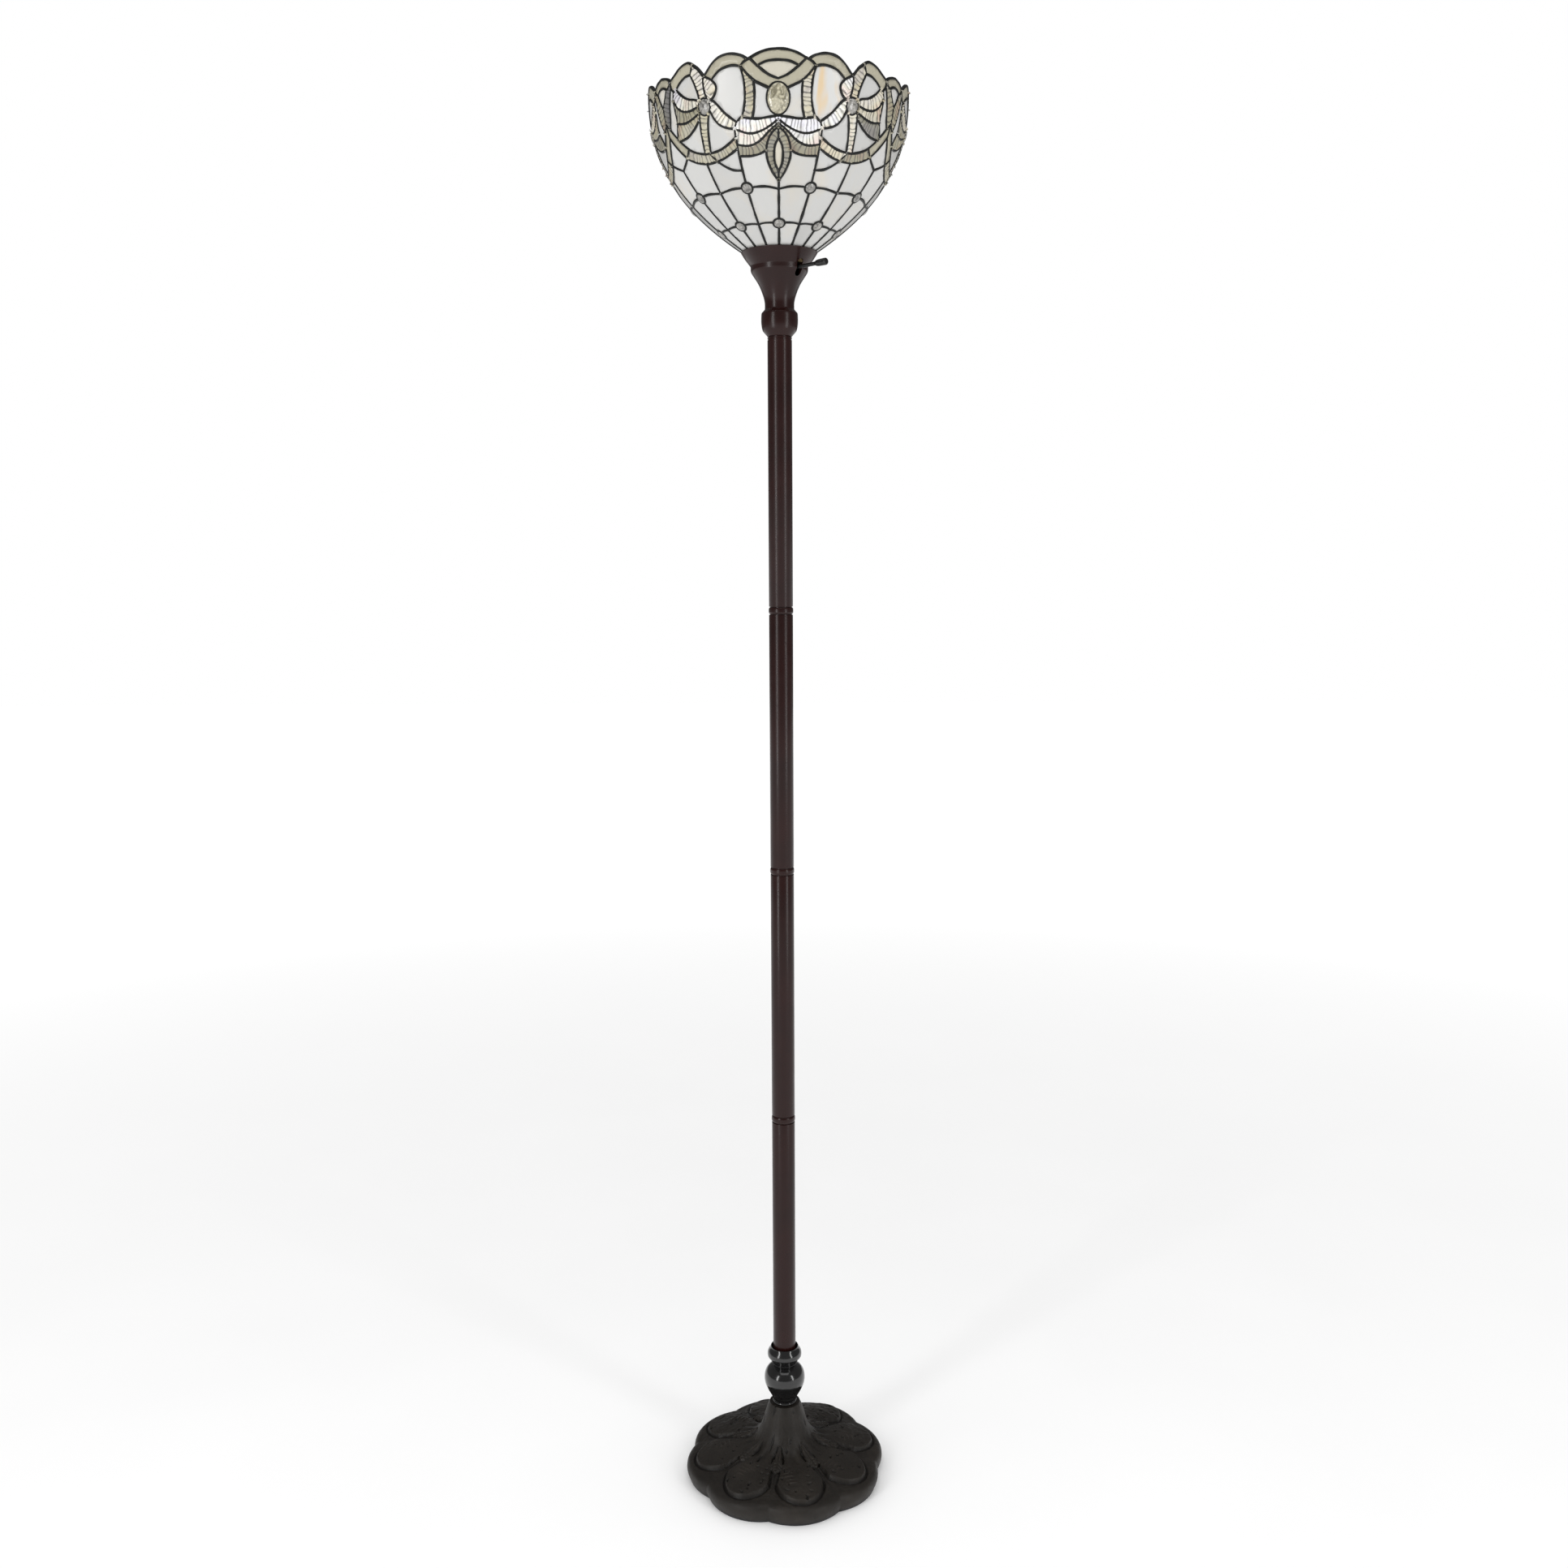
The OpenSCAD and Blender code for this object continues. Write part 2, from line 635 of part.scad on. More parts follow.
module top_jewel_sites() {
    at_columns(COLUMNS / 2, 360 / COLUMNS) on_bowl(ring_1_h) children();
}

module oval_sites() {
    at_columns(REPEATS) on_bowl(rim_jewel_h) children();
}

module bow_sites() {
    for (turn = [-bow_at, bow_at]) at_columns(REPEATS, turn) on_bowl(rim_jewel_h) children();
}

// An oval drawn by two arcs that meet above and below; its X is the bowl's upright direction
module oval_outline(grow = 0) {
    w = oval_w / 2 + grow;
    l = oval_h / 2 + grow;
    r = (w * w + l * l) / (2 * w);
    intersection() {
        translate([0, r - w]) circle(r = r);
        translate([0, w - r]) circle(r = r);
    }
}

module jewel_hole(d) {
    translate([0, 0, -8]) cylinder(d = d + 2 * slip, h = 16);
}

module low_holes() {
    low_jewel_sites() jewel_hole(low_jewel_d);
}

module top_holes() {
    top_jewel_sites() jewel_hole(top_jewel_d);
}

module rim_holes() {
    bow_sites() jewel_hole(bow_jewel_d);
    oval_sites() translate([0, 0, -8]) linear_extrude(16) oval_outline(slip);
}

// The top tier's panes end in scallops, centred between the columns of the tiers below
module scalloped_pane() {
    reach = shade_d / 2 + 30;
    intersection() {
        pane(TIERS);
        rotate([0, 0, 180 / COLUMNS]) translate([0, 0, shade_top - scallop_r]) rotate([0, 90, 0]) union() {
            cylinder(r = scallop_r, h = reach);
            translate([0, -scallop_r, 0]) cube([shade_h, 2 * scallop_r, reach]);
        }
    }
}

module glass_tier_1() {
    color("#d8d6cf", 0.9) difference() {
        at_columns() pane(1);
        low_holes();
        top_holes();
    }
}

module glass_tier_2() {
    color("#d8d6cf", 0.9) difference() {
        at_columns() pane(2);
        top_holes();
    }
}

module glass_tier_3() {
    color("#c9c4a8", 0.9) at_columns() pane(3);
}

module glass_tier_4() {
    color("#d8d6cf", 0.9) difference() {
        at_columns(COLUMNS, 180 / COLUMNS) scalloped_pane();
        rim_holes();
    }
}

module came_ring(h) {
    translate([0, 0, shade_z]) rotate_extrude() polygon(bowl_strip(
        h - came_w / 2, h + came_w / 2, (came_t - glass_t) / 2, glass_t + (came_t - glass_t) / 2));
}

module came_rings() {
    color("#1a1c1a") difference() {
        for (k = [1 : TIERS - 1]) came_ring(tier_h[k]);
        top_holes();
    }
}

// The upright cames, one between every two panes of a tier
module came_ribs() {
    proud = (came_t - glass_t) / 2;
    color("#1a1c1a") difference() {
        for (tier = [1 : TIERS]) {
            low = tier_h[tier - 1] + (tier == 1 ? 0 : came_w / 2);
            high = tier_h[tier] - (tier == TIERS ? scallop_r * 0.45 : came_w / 2);
            gap = came_turn(tier);
            at_columns(COLUMNS, tier == TIERS ? 180 / COLUMNS : 0)
                translate([0, 0, shade_z]) rotate([0, 0, -gap]) rotate_extrude(angle = 2 * gap)
                    polygon(bowl_strip(low, high, proud, glass_t + proud));
        }
        low_holes();
        top_holes();
        rim_holes();
    }
}

// A pressed glass jewel: a flat-backed blank with a domed face
module jewel(d) {
    bulge = 3;
    sphere_r = (d * d / 4 + bulge * bulge) / 2 / bulge;
    union() {
        translate([0, 0, -glass_t]) cylinder(d = d, h = glass_t);
        intersection() {
            translate([0, 0, bulge - sphere_r]) sphere(r = sphere_r);
            translate([0, 0, -1]) cylinder(d = d, h = bulge + 2);
        }
    }
}

module low_jewels() {
    color("#b9b6ad") low_jewel_sites() jewel(low_jewel_d);
}

module top_jewels() {
    color("#b9b6ad") top_jewel_sites() jewel(top_jewel_d);
}

module oval_jewels() {
    bulge = 4;
    sphere_r = (oval_h * oval_h / 4 + bulge * bulge) / 2 / bulge;
    color("#a09a80") oval_sites() union() {
        translate([0, 0, -glass_t]) linear_extrude(glass_t) oval_outline();
        intersection() {
            translate([0, 0, bulge - sphere_r]) sphere(r = sphere_r);
            translate([0, 0, -1]) linear_extrude(bulge + 2) oval_outline();
        }
    }
}

module bow_jewels() {
    color("#b9b6ad") bow_sites() jewel(bow_jewel_d);
}

// ---- bulb ----

module bulb_glass() {
    r = bulb_d / 2;
    top = contact_z + bulb_l;
    centre = top - r;
    neck_r = cap_d / 2 - 0.4;
    wall = 0.8;
    outer = concat(
        [[neck_r, glass_z]], [for (i = [1 : 6]) let (t = i / 6)
            [neck_r + (r * cos(20) - neck_r) * pow(sin(90 * t), 1.3),
             glass_z + (centre - r * sin(20) - glass_z) * t]],
        [for (a = [-10 : 10 : 90]) [r * cos(a), centre + r * sin(a)]]);
    inner = concat(
        [[neck_r - wall, glass_z]], [for (i = [1 : 6]) [outer[i][0] - wall, outer[i][1]]],
        [for (a = [-10 : 10 : 90]) [(r - wall) * cos(a), centre + (r - wall) * sin(a)]]);
    color("#f4f2ea", 0.8) rotate_extrude()
        polygon(concat(outer, [for (i = [len(inner) - 1 : -1 : 0]) inner[i]]));
}

module bulb_cap() {
    color("#c8c8c4") rotate_extrude() polygon([
        [cap_d / 2, contact_z + 4], [cap_d / 2, glass_z], [0, glass_z], [0, contact_z + 1.5],
        [5, contact_z + 1.5], [9, contact_z + 3]]);
}

module bulb_contact() {
    color("#8a8884") translate([0, 0, contact_z]) cylinder(r = 4, h = 1.5);
}

felt_pad();
base_casting();
base_weight();
base_plate();
base_washer();
base_nut();
tie_rod();
outlet_bush();
ball_ring();
neck_ball();
neck_ring();
pole_foot_insert();
pole_tube(1);  // pole_tube_1
pole_tube(2);  // pole_tube_2
pole_tube(3);  // pole_tube_3
pole_tube(4);  // pole_tube_4
joint_band(1);  // joint_band_1
joint_band(2);  // joint_band_2
joint_band(3);  // joint_band_3
tube_inserts();
pole_couplers();
top_nipple();
cup_knob();
fitter_cup();
cup_nut();
socket_cap();
socket_shell();
socket_liner();
switch_block();
screw_shell();
centre_contact();
terminal_screws();
switch_wires();
key_shaft();
key_knob();
shade_cap();
ring_nut();
glass_tier_1();
glass_tier_2();
glass_tier_3();
glass_tier_4();
came_rings();
came_ribs();
low_jewels();
top_jewels();
oval_jewels();
bow_jewels();
bulb_glass();
bulb_cap();
bulb_contact();
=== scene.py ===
"""Torchiere floor lamp: the visible pieces and finishes of a leaded-glass uplighter.

Laid out as a Blender add-on and run as a script. The frame is loaded at the top, each piece or
group of like pieces has its own operator, and main() calls them in order.
"""

import math
import random
from bisect import bisect_left

import bmesh
import bpy
from bpy.props import FloatProperty, FloatVectorProperty, IntProperty, PointerProperty
from mathutils import Matrix, Vector, noise
from mathutils.geometry import delaunay_2d_cdt


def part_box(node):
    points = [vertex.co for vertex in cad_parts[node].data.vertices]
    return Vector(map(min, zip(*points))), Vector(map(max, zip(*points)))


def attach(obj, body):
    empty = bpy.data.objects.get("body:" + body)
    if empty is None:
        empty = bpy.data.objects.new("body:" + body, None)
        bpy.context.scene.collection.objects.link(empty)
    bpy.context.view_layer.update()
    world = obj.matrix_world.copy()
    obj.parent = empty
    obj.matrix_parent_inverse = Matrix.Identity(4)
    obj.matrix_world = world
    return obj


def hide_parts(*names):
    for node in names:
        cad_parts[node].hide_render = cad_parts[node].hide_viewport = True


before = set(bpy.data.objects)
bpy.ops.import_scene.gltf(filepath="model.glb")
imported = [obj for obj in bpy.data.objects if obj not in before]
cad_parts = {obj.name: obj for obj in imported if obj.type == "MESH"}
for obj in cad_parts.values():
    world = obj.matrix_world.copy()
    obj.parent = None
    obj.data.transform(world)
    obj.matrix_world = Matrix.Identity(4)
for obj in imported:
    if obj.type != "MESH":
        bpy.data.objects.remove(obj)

bl_info = {
    "name": "Torchiere Floor Lamp",
    "version": (1, 0, 0),
    "blender": (4, 5, 0),
    "location": "3D View > Sidebar > Torchiere",
    "description": "Builds the visible pieces of a leaded-glass torchiere round its CAD frame",
    "category": "Add Mesh",
}

MM = 0.001
LAMP, KEY, BULB = "lamp", "switch_key", "bulb"

# Stage: the camera in metres and degrees, the fade of the floor to white in metres, and the
# studio's brightness on surfaces and what mirrors lose of it
CAMERA_PLACE = (0.004, -1.8821, 1.2085)
CAMERA_DOWN, CAMERA_LEAN = 8.085, 0.26
LENS_MM, SENSOR_MM = 34.19, 36
FLOOR_FADE = (0.7, 3.2)
STUDIO_LIGHT, MIRROR_LOSS = 0.80, 0.62

# Gap left between a pane and the middle of its lead, and the size of a batch of lead, in vertices
PANE_GAP = 0.5 * MM
LEAD_BATCH = 3000
FRONT = -math.pi / 2


# ---------------------------------------------------------------- sizes from the frame


def low_z(node):
    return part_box(node)[0].z / MM


def high_z(node):
    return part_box(node)[1].z / MM


def reach(node):
    """Largest radius of a turned node, in millimetres."""
    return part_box(node)[1].x / MM


BOWL_FOOT_Z = low_z("glass_tier_1")
BOWL_HEIGHT = high_z("glass_tier_4") - BOWL_FOOT_Z
BOWL_RADIUS = 155.0
BOWL_FOOT_RADIUS = 39.0
BOWL_POWER, BOWL_EASE = 2.6, 0.935
GLASS_THICK = 3.0
POLE_R = reach("pole_tube_1")
KEY_Z = (low_z("key_shaft") + high_z("key_shaft")) / 2
KEY_TURN = math.radians(-45)


def bowl_table(steps=400):
    """The bowl's side curve as rows of (arc length, radius, height above its foot)."""
    share = 1 - (BOWL_FOOT_RADIUS / BOWL_RADIUS) ** BOWL_EASE
    depth = BOWL_HEIGHT / share ** (1 / BOWL_POWER)
    rows, run = [], 0.0
    for k in range(steps + 1):
        h = BOWL_HEIGHT * k / steps
        r = BOWL_RADIUS * (1 - ((BOWL_HEIGHT - h) / depth) ** BOWL_POWER) ** (1 / BOWL_EASE)
        if rows:
            run += math.hypot(r - rows[-1][1], h - rows[-1][2])
        rows.append((run, r, h))
    return rows


BOWL = bowl_table()
BOWL_RUNS = [row[0] for row in BOWL]
PATTERN_START = 2.0


def bowl_at(s):
    """Radius and height above the foot at an arc length from the bottom of the pattern."""
    s = min(max(s + PATTERN_START, 0.0), BOWL_RUNS[-1])
    k = min(max(bisect_left(BOWL_RUNS, s), 1), len(BOWL) - 1)
    (s0, r0, h0), (s1, r1, h1) = BOWL[k - 1], BOWL[k]
    t = (s - s0) / (s1 - s0)
    return r0 + (r1 - r0) * t, h0 + (h1 - h0) * t


def on_bowl(turn, s):
    """The point of the bowl's outer face at a turn in degrees from the front and an arc length."""
    r, h = bowl_at(s)
    a = FRONT + math.radians(turn)
    return Vector((r * math.cos(a), r * math.sin(a), BOWL_FOOT_Z + h)) * MM


def bowl_frame(turn, s):
    """A matrix at a point of the bowl: X round the bowl, Y up its side, Z out of the glass."""
    here = on_bowl(turn, s)
    up = (on_bowl(turn, s + 1) - on_bowl(turn, s - 1)).normalized()
    a = FRONT + math.radians(turn)
    across = Vector((-math.sin(a), math.cos(a), 0))
    out = across.cross(up)
    axes = Matrix((across, up, out)).transposed().to_4x4()
    return Matrix.Translation(here) @ axes


# ---------------------------------------------------------------- the leaded pattern
#
# The pattern covers a sixth of the bowl, from 0 to 60 degrees, and repeats in mirror pairs. Each
# line is (turn in degrees, arc length in mm up the glass) and runs smoothly through its points;
# ends run on a little past the line that they meet.

SECTOR = 60.0

RIM = [
    [(0, 229.5), (4, 228.7), (8, 225.6), (12.6, 219.5)],
    [(12.6, 219.5), (15.5, 224.6), (20.5, 227.5), (25, 225.6), (28.4, 220), (31.2, 212), (32.8, 208.3)],
    [(32.8, 208.3), (34, 212.5), (35.8, 218), (38, 222.3)],
    [(38, 222.3), (41, 227), (45.5, 224.5), (49.5, 218.5), (52.7, 214.2)],
    [(52.7, 214.2), (55.5, 218.8), (60, 221.5)],
]

LINES = {
    "column_20": [(20, -2), (20, 60), (20, 110), (20, 151)],
    "column_40": [(40, -2), (40, 60), (40, 120)],
    "low_row_a": [(4.4, 37), (14, 37), (20, 35.5)],
    "low_row_b": [(20, 35.5), (26, 37), (35.6, 37)],
    "low_row_c": [(44.4, 37), (54, 37), (60.4, 35.5)],
    "top_row_a": [(-0.4, 81), (8, 84.5), (17.4, 84.5)],
    "top_row_b": [(22.6, 84.5), (30, 84.7), (40, 82)],
    "top_row_c": [(40, 82), (50, 84.7), (57.4, 84.5)],
    "shelf": [(19.8, 105), (25, 106.5), (29.4, 112), (33.2, 119.5)],
    "pendant_out": [(-0.3, 150.5), (2.4, 146), (4.6, 138), (5.9, 126), (5.4, 113), (3.2, 101),
                    (-0.3, 90.5)],
    "pendant_in": [(-0.3, 139.5), (1.7, 131), (2.3, 120), (1.7, 110), (-0.3, 101.5)],
    "swag_1_top": [(-0.4, 161.5), (4, 160.2), (9, 158.8), (13.5, 160), (16.6, 161.6)],
    "swag_1_end": [(16.6, 161.6), (18.6, 157), (20.2, 149.6)],
    "swag_1_foot": [(-0.4, 159), (3.6, 151.5), (9, 145.6), (14, 144.6), (20.2, 150.6)],
    "swag_2_foot": [(-0.4, 155), (4.2, 146), (7.2, 139.2), (10.6, 133.8), (15, 131.6), (20.3, 134)],
    "swag_3_foot": [(5.2, 127), (9, 122.6), (14, 120.4), (20.3, 121.4)],
    "upright_left": [(10.3, 199), (10, 185), (10.5, 170), (11.7, 158)],
    "upright_right": [(15.9, 214.6), (15.2, 209), (14.3, 200), (14, 185), (14.7, 171), (16.3, 160.6)],
    "arch_in": [(-0.3, 218.2), (4.6, 217), (8.8, 212.4)],
    "band_top": [(-0.4, 198.6), (4, 203.4), (8.4, 212.4), (11.9, 221.4)],
    "band_foot": [(3, 188.6), (7, 193.4), (10.2, 198), (13.2, 205.6), (15.6, 213.6)],
    "band_end": [(12.3, 220.4), (14.4, 217.2), (15.9, 212.6)],
    "scallop_1_in": [(15.2, 212.6), (17.6, 214.6), (20.6, 214.9), (24.6, 212.2), (27.4, 206.8),
                     (29.4, 201.4)],
    "loop_1": [
        (31.6, 183), (29.2, 184), (27.4, 189.5), (26.8, 196), (28.6, 202.6), (32.8, 209),
    ],
    "loop_1_right": [(31.4, 182.6), (32.4, 191), (32.9, 200), (32.8, 210)],
    "loop_2_right": [(38.2, 224), (39.3, 213.4), (37.5, 203), (36.1, 193), (35.3, 182)],
    "petal_top": [(18, 155.6), (20.6, 160.5), (24, 168), (28.4, 181), (31.4, 184)],
    "petal_foot": [(19, 150.4), (22.6, 151.6), (27, 156.4), (29.9, 166.5), (31.2, 178)],
    "scallop_2_in": [(39, 213.4), (42.4, 213), (46.2, 208.2), (48.8, 202.8), (50.6, 201.6)],
    "scallop_2_end": [(52.7, 215), (52.4, 209), (51.6, 204.4), (50, 201.4)],
    "feather_1_top": [(34.8, 183), (38.2, 186.8), (42, 189.4), (45.8, 195.6), (49, 204)],
    "feather_1_foot": [(35.4, 180.6), (38, 178.4), (41.4, 176.8), (45.4, 178.2), (48.8, 183.6),
                       (51.5, 195)],
    "feather_2_foot": [(35.4, 173.6), (38, 170.6), (41.4, 167.6), (46, 165.8), (51.6, 168.6)],
    "feather_3_foot": [(36.2, 167.4), (38.4, 162.5), (41.6, 156.4), (46.4, 151.2), (53, 149.4)],
    "feather_ends": [(50.4, 203.6), (51.2, 194), (50.9, 184), (50.7, 172), (51.3, 165), (52.6, 158),
                     (53.5, 150.6)],
    "ribbon_left": [(52.2, 209), (53.4, 199), (54.6, 186), (55.6, 175), (57.7, 163)],
    "ribbon_right": [(55.8, 208.6), (57.6, 199), (60.4, 188)],
    "scallop_3_in": [(52.4, 215.8), (53.6, 210.6), (55.6, 207.6), (57.8, 210.4), (60.4, 211.6)],
    "garland_foot": [(19.7, 130.4), (25, 124), (30, 120), (36, 118.4), (41, 119), (46.4, 122.8),
                     (51.5, 130), (56, 142.6), (60.3, 158.6)],
    "garland_top": [(19.7, 142), (25, 134.6), (30, 130.2), (36, 128.8), (41, 130.4), (46.6, 136),
                    (51, 145.6), (54.4, 155.6), (57.4, 165), (60.3, 173.6)],
    "garland_cut_a": [(32.6, 117.6), (36.4, 130.4)],
    "garland_cut_b": [(52, 128.8), (48, 139.4)],
    "tail_left": [(31.2, 173), (32.8, 160), (34.1, 145), (35.3, 128)],
    "tail_right": [(36.2, 173.4), (37.1, 160), (37.8, 145), (38.6, 129)],
    "corner": [(51.4, 131.4), (54.6, 126), (60.3, 119.2)],
}

# Leads that lie on the two mirror lines of the pattern
SEAM_LEADS = {0.0: [(-5, 103), (138.5, 150.6)], 60.0: [(-5, 120), (158, 189)]}

# Jewels: (turn, height, half width, half height), in mm
LOW_JEWELS = [(0, 36), (40, 36)]
TOP_JEWELS = [(20, 84), (60, 84)]
ROUND_HALF = 6.3
OVAL = (0, 179, 12.4, 16.2)
BOW = (33.4, 177.4, 7.7, 8.6)

# What fills the pieces that aren't plain opal: a point inside each, and the glass
FILLS = {
    "beige": [
        (3, 224), (9, 204), (20.5, 221), (44, 218), (58, 216), (54, 148),
    ],
    "cream": [(1, 121), (2, 209)],
    "amber": [(22, 190)],
    "jewel": [(0.6, 36), (40, 36), (20, 84), (59.4, 84), (1, 180), (33.4, 177)],
}

# The drapery glass: for each piece a point inside it, how dusky its glass may be (from, to), and
# the line that its folds cross
DRAPERY = {
    "pendant": ((4, 125), (0.66, 0.9), [(0, 148), (3.4, 138), (4.2, 124), (3.6, 112), (0, 96)]),
    "swag_1": ((10, 152), (0.0, 0.45), [(0, 160), (6, 154), (11, 152), (18.8, 155)]),
    "swag_2": ((12, 138.5), (0.0, 0.5), [(0, 157), (6, 147), (12, 138.6), (19.8, 142)]),
    "swag_3": ((13, 126), (0.6, 0.85), [(3, 149), (7, 134), (13, 126), (20, 127)]),
    "petal": ((25, 162), (0.05, 0.4), [(19.6, 154), (24, 159), (28, 170), (30.4, 181)]),
    "loop_1": ((30, 196), (0.0, 0.4), [(31.6, 184), (29.6, 190), (29.8, 197), (32.6, 206)]),
    "loop_2": ((35.4, 203), (0.1, 0.55), [(33.8, 187), (34.6, 198), (36.4, 210), (38, 222)]),
    "feather_1": ((47, 189), (0.2, 0.5), [(36, 183), (42, 183), (47, 190), (49.6, 202)]),
    "feather_2": ((45, 172), (0.3, 0.8), [(36, 177), (41, 172.4), (46, 171.4), (50.8, 177)]),
    "feather_3": ((46, 158), (0.6, 1.0), [(36.8, 170), (41, 162.4), (46, 158.4), (52.6, 157)]),
    "tail": ((35.6, 150), (0.2, 0.7), [(34.2, 170), (35.4, 150), (36.8, 130)]),
    "ribbon": ((56.4, 186), (0.7, 1.0), [(54.2, 207), (56.2, 192), (58, 178), (59, 168)]),
    "upright": ((12.4, 186), (0.5, 0.66), [(12.6, 162), (12, 176), (12.4, 190), (14, 206)]),
    "upright_foot": ((12.3, 163), (0.5, 0.66), [(12.6, 158), (12, 168), (12.2, 176)]),
    "garland_1": ((27, 127), (0.3, 0.8), [(20.4, 136), (27, 127.4), (35, 124)]),
    "garland_2": ((43, 126), (0.62, 0.8), [(35, 124), (42, 125), (51, 136)]),
}

KINDS = ["opal", "beige", "cream", "amber", "jewel", "drapery"]
LINE_STEP = 2.2
FILL_STEP = 5.0
PLANE_START = 45.0


def gap_mm(p, q):
    """Distance on the bowl between two near points of the pattern."""
    r = bowl_at((p[1] + q[1]) / 2)[0]
    return math.hypot(math.radians(q[0] - p[0]) * r, q[1] - p[1])


def smooth_line(points, step=LINE_STEP):
    """Points at even steps along a smooth curve through the given ones."""
    ends = [points[0]] + list(points) + [points[-1]]
    run = []
    for k in range(1, len(ends) - 2):
        a, b, c, d = ends[k - 1 : k + 3]
        count = max(1, round(gap_mm(b, c) / step))
        for i in range(count):
            t = i / count
            run.append(tuple(
                0.5 * (2 * b[j] + (c[j] - a[j]) * t + (2 * a[j] - 5 * b[j] + 4 * c[j] - d[j]) * t * t
                       + (3 * b[j] - a[j] - 3 * c[j] + d[j]) * t ** 3) for j in (0, 1)))
    return run + [tuple(points[-1])]


def oval_line(turn, s, half_w, half_h, count=28):
    """A closed oval on the bowl."""
    r = bowl_at(s)[0]
    wide = math.degrees(half_w / r)
    turns = [math.tau * k / count for k in range(count + 1)]
    return [(turn + wide * math.cos(a), s + half_h * math.sin(a)) for a in turns]


def jewel_sites():
    """Every jewel of the sector as (turn, arc length, half width, half height)."""
    rounds = [(t, s, ROUND_HALF, ROUND_HALF) for t, s in LOW_JEWELS + TOP_JEWELS]
    return rounds + [OVAL, BOW]


def to_plane(p):
    rho = PLANE_START + p[1]
    return Vector((rho * math.cos(math.radians(p[0])), rho * math.sin(math.radians(p[0]))))


def from_plane(v):
    return math.degrees(math.atan2(v[1], v[0])), math.hypot(v[0], v[1]) - PLANE_START


def sector_edges():
    """The pattern's lines as lists of points, with the sector's own outline last."""
    runs = [smooth_line(points) for points in LINES.values()]
    runs += [oval_line(*site) for site in jewel_sites()]
    rim = [p for k, part in enumerate(RIM) for p in smooth_line(part)[(1 if k else 0):]]
    right = [(SECTOR, s) for s in range(218, -2, -3)]
    foot = [(t, -PATTERN_START) for t in range(60, 0, -1)]
    left = [(0.0, -PATTERN_START)] + [(0.0, s) for s in range(1, 229, 3)]
    return runs, left + rim + right + foot


def fill_points(taken):
    """Staggered points inside the panes, clear of every line, so that the glass can curve."""
    cells = {}
    for p in taken:
        cells.setdefault((int(p[0] // 6), int(p[1] // 6)), []).append(p)
    found = []
    rows = int(228 / FILL_STEP)
    for row in range(rows):
        s = 1.0 + FILL_STEP * row
        turn_step = math.degrees(FILL_STEP / bowl_at(s)[0])
        turn = turn_step * (0.5 if row % 2 else 1.0)
        while turn < SECTOR - 0.3:
            near = []
            for i in (-1, 0, 1):
                for j in (-1, 0, 1):
                    near += cells.get((int(turn // 6) + i, int(s // 6) + j), [])
            if all(gap_mm((turn, s), q) > 2.4 for q in near):
                found.append((turn, s))
            turn += turn_step
    return found


def in_jewel(p):
    """True inside a jewel's outline."""
    for turn, s, half_w, half_h in jewel_sites():
        across = math.radians(p[0] - turn) * bowl_at(s)[0]
        if math.hypot(across / half_w, (p[1] - s) / half_h) < 0.93:
            return True
    return False


def is_seam_lead(a, b):
    """True for an edge of the sector's outline that carries a lead."""
    for turn, spans in SEAM_LEADS.items():
        if abs(a[0] - turn) < 1e-3 and abs(b[0] - turn) < 1e-3:
            middle = (a[1] + b[1]) / 2
            return any(low < middle < high for low, high in spans)
    return False


def flood(faces, lead):
    """Groups faces that join without crossing a lead."""
    group, count = {}, 0
    for face in faces:
        if face in group:
            continue
        group[face], stack = count, [face]
        while stack:
            for edge in stack.pop().edges:
                if edge[lead]:
                    continue
                for other in edge.link_faces:
                    if other not in group:
                        group[other] = count
                        stack.append(other)
        count += 1
    return group


def face_at(bm, p):
    """The face of the flat sector that holds a point of the pattern."""
    q = to_plane(p)
    for face in bm.faces:
        a, b, c = (v.co.xy for v in face.verts)
        sides = [(b - a).cross(q - a), (c - b).cross(q - b), (a - c).cross(q - c)]
        if min(sides) >= 0 or max(sides) <= 0:
            return face
    raise RuntimeError(f"no piece of the pattern holds {p}")


def along(line, p):
    """How far along a line, in mm, its nearest point to p lies."""
    best, run = None, 0.0
    for a, b in zip(line, line[1:]):
        r = bowl_at((a[1] + b[1]) / 2)[0]
        ab = Vector((math.radians(b[0] - a[0]) * r, b[1] - a[1]))
        ap = Vector((math.radians(p[0] - a[0]) * r, p[1] - a[1]))
        t = ap.dot(ab) / max(ab.length_squared, 1e-9)
        held = min(max(t, 0.0), 1.0)
        far = (ap - ab * held).length
        if best is None or far < best[0]:
            ends = (a is line[0] and t < 0) or (b is line[-1] and t > 1)
            best = (far, run + ab.length * (t if ends else held))
        run += ab.length
    return best[1]


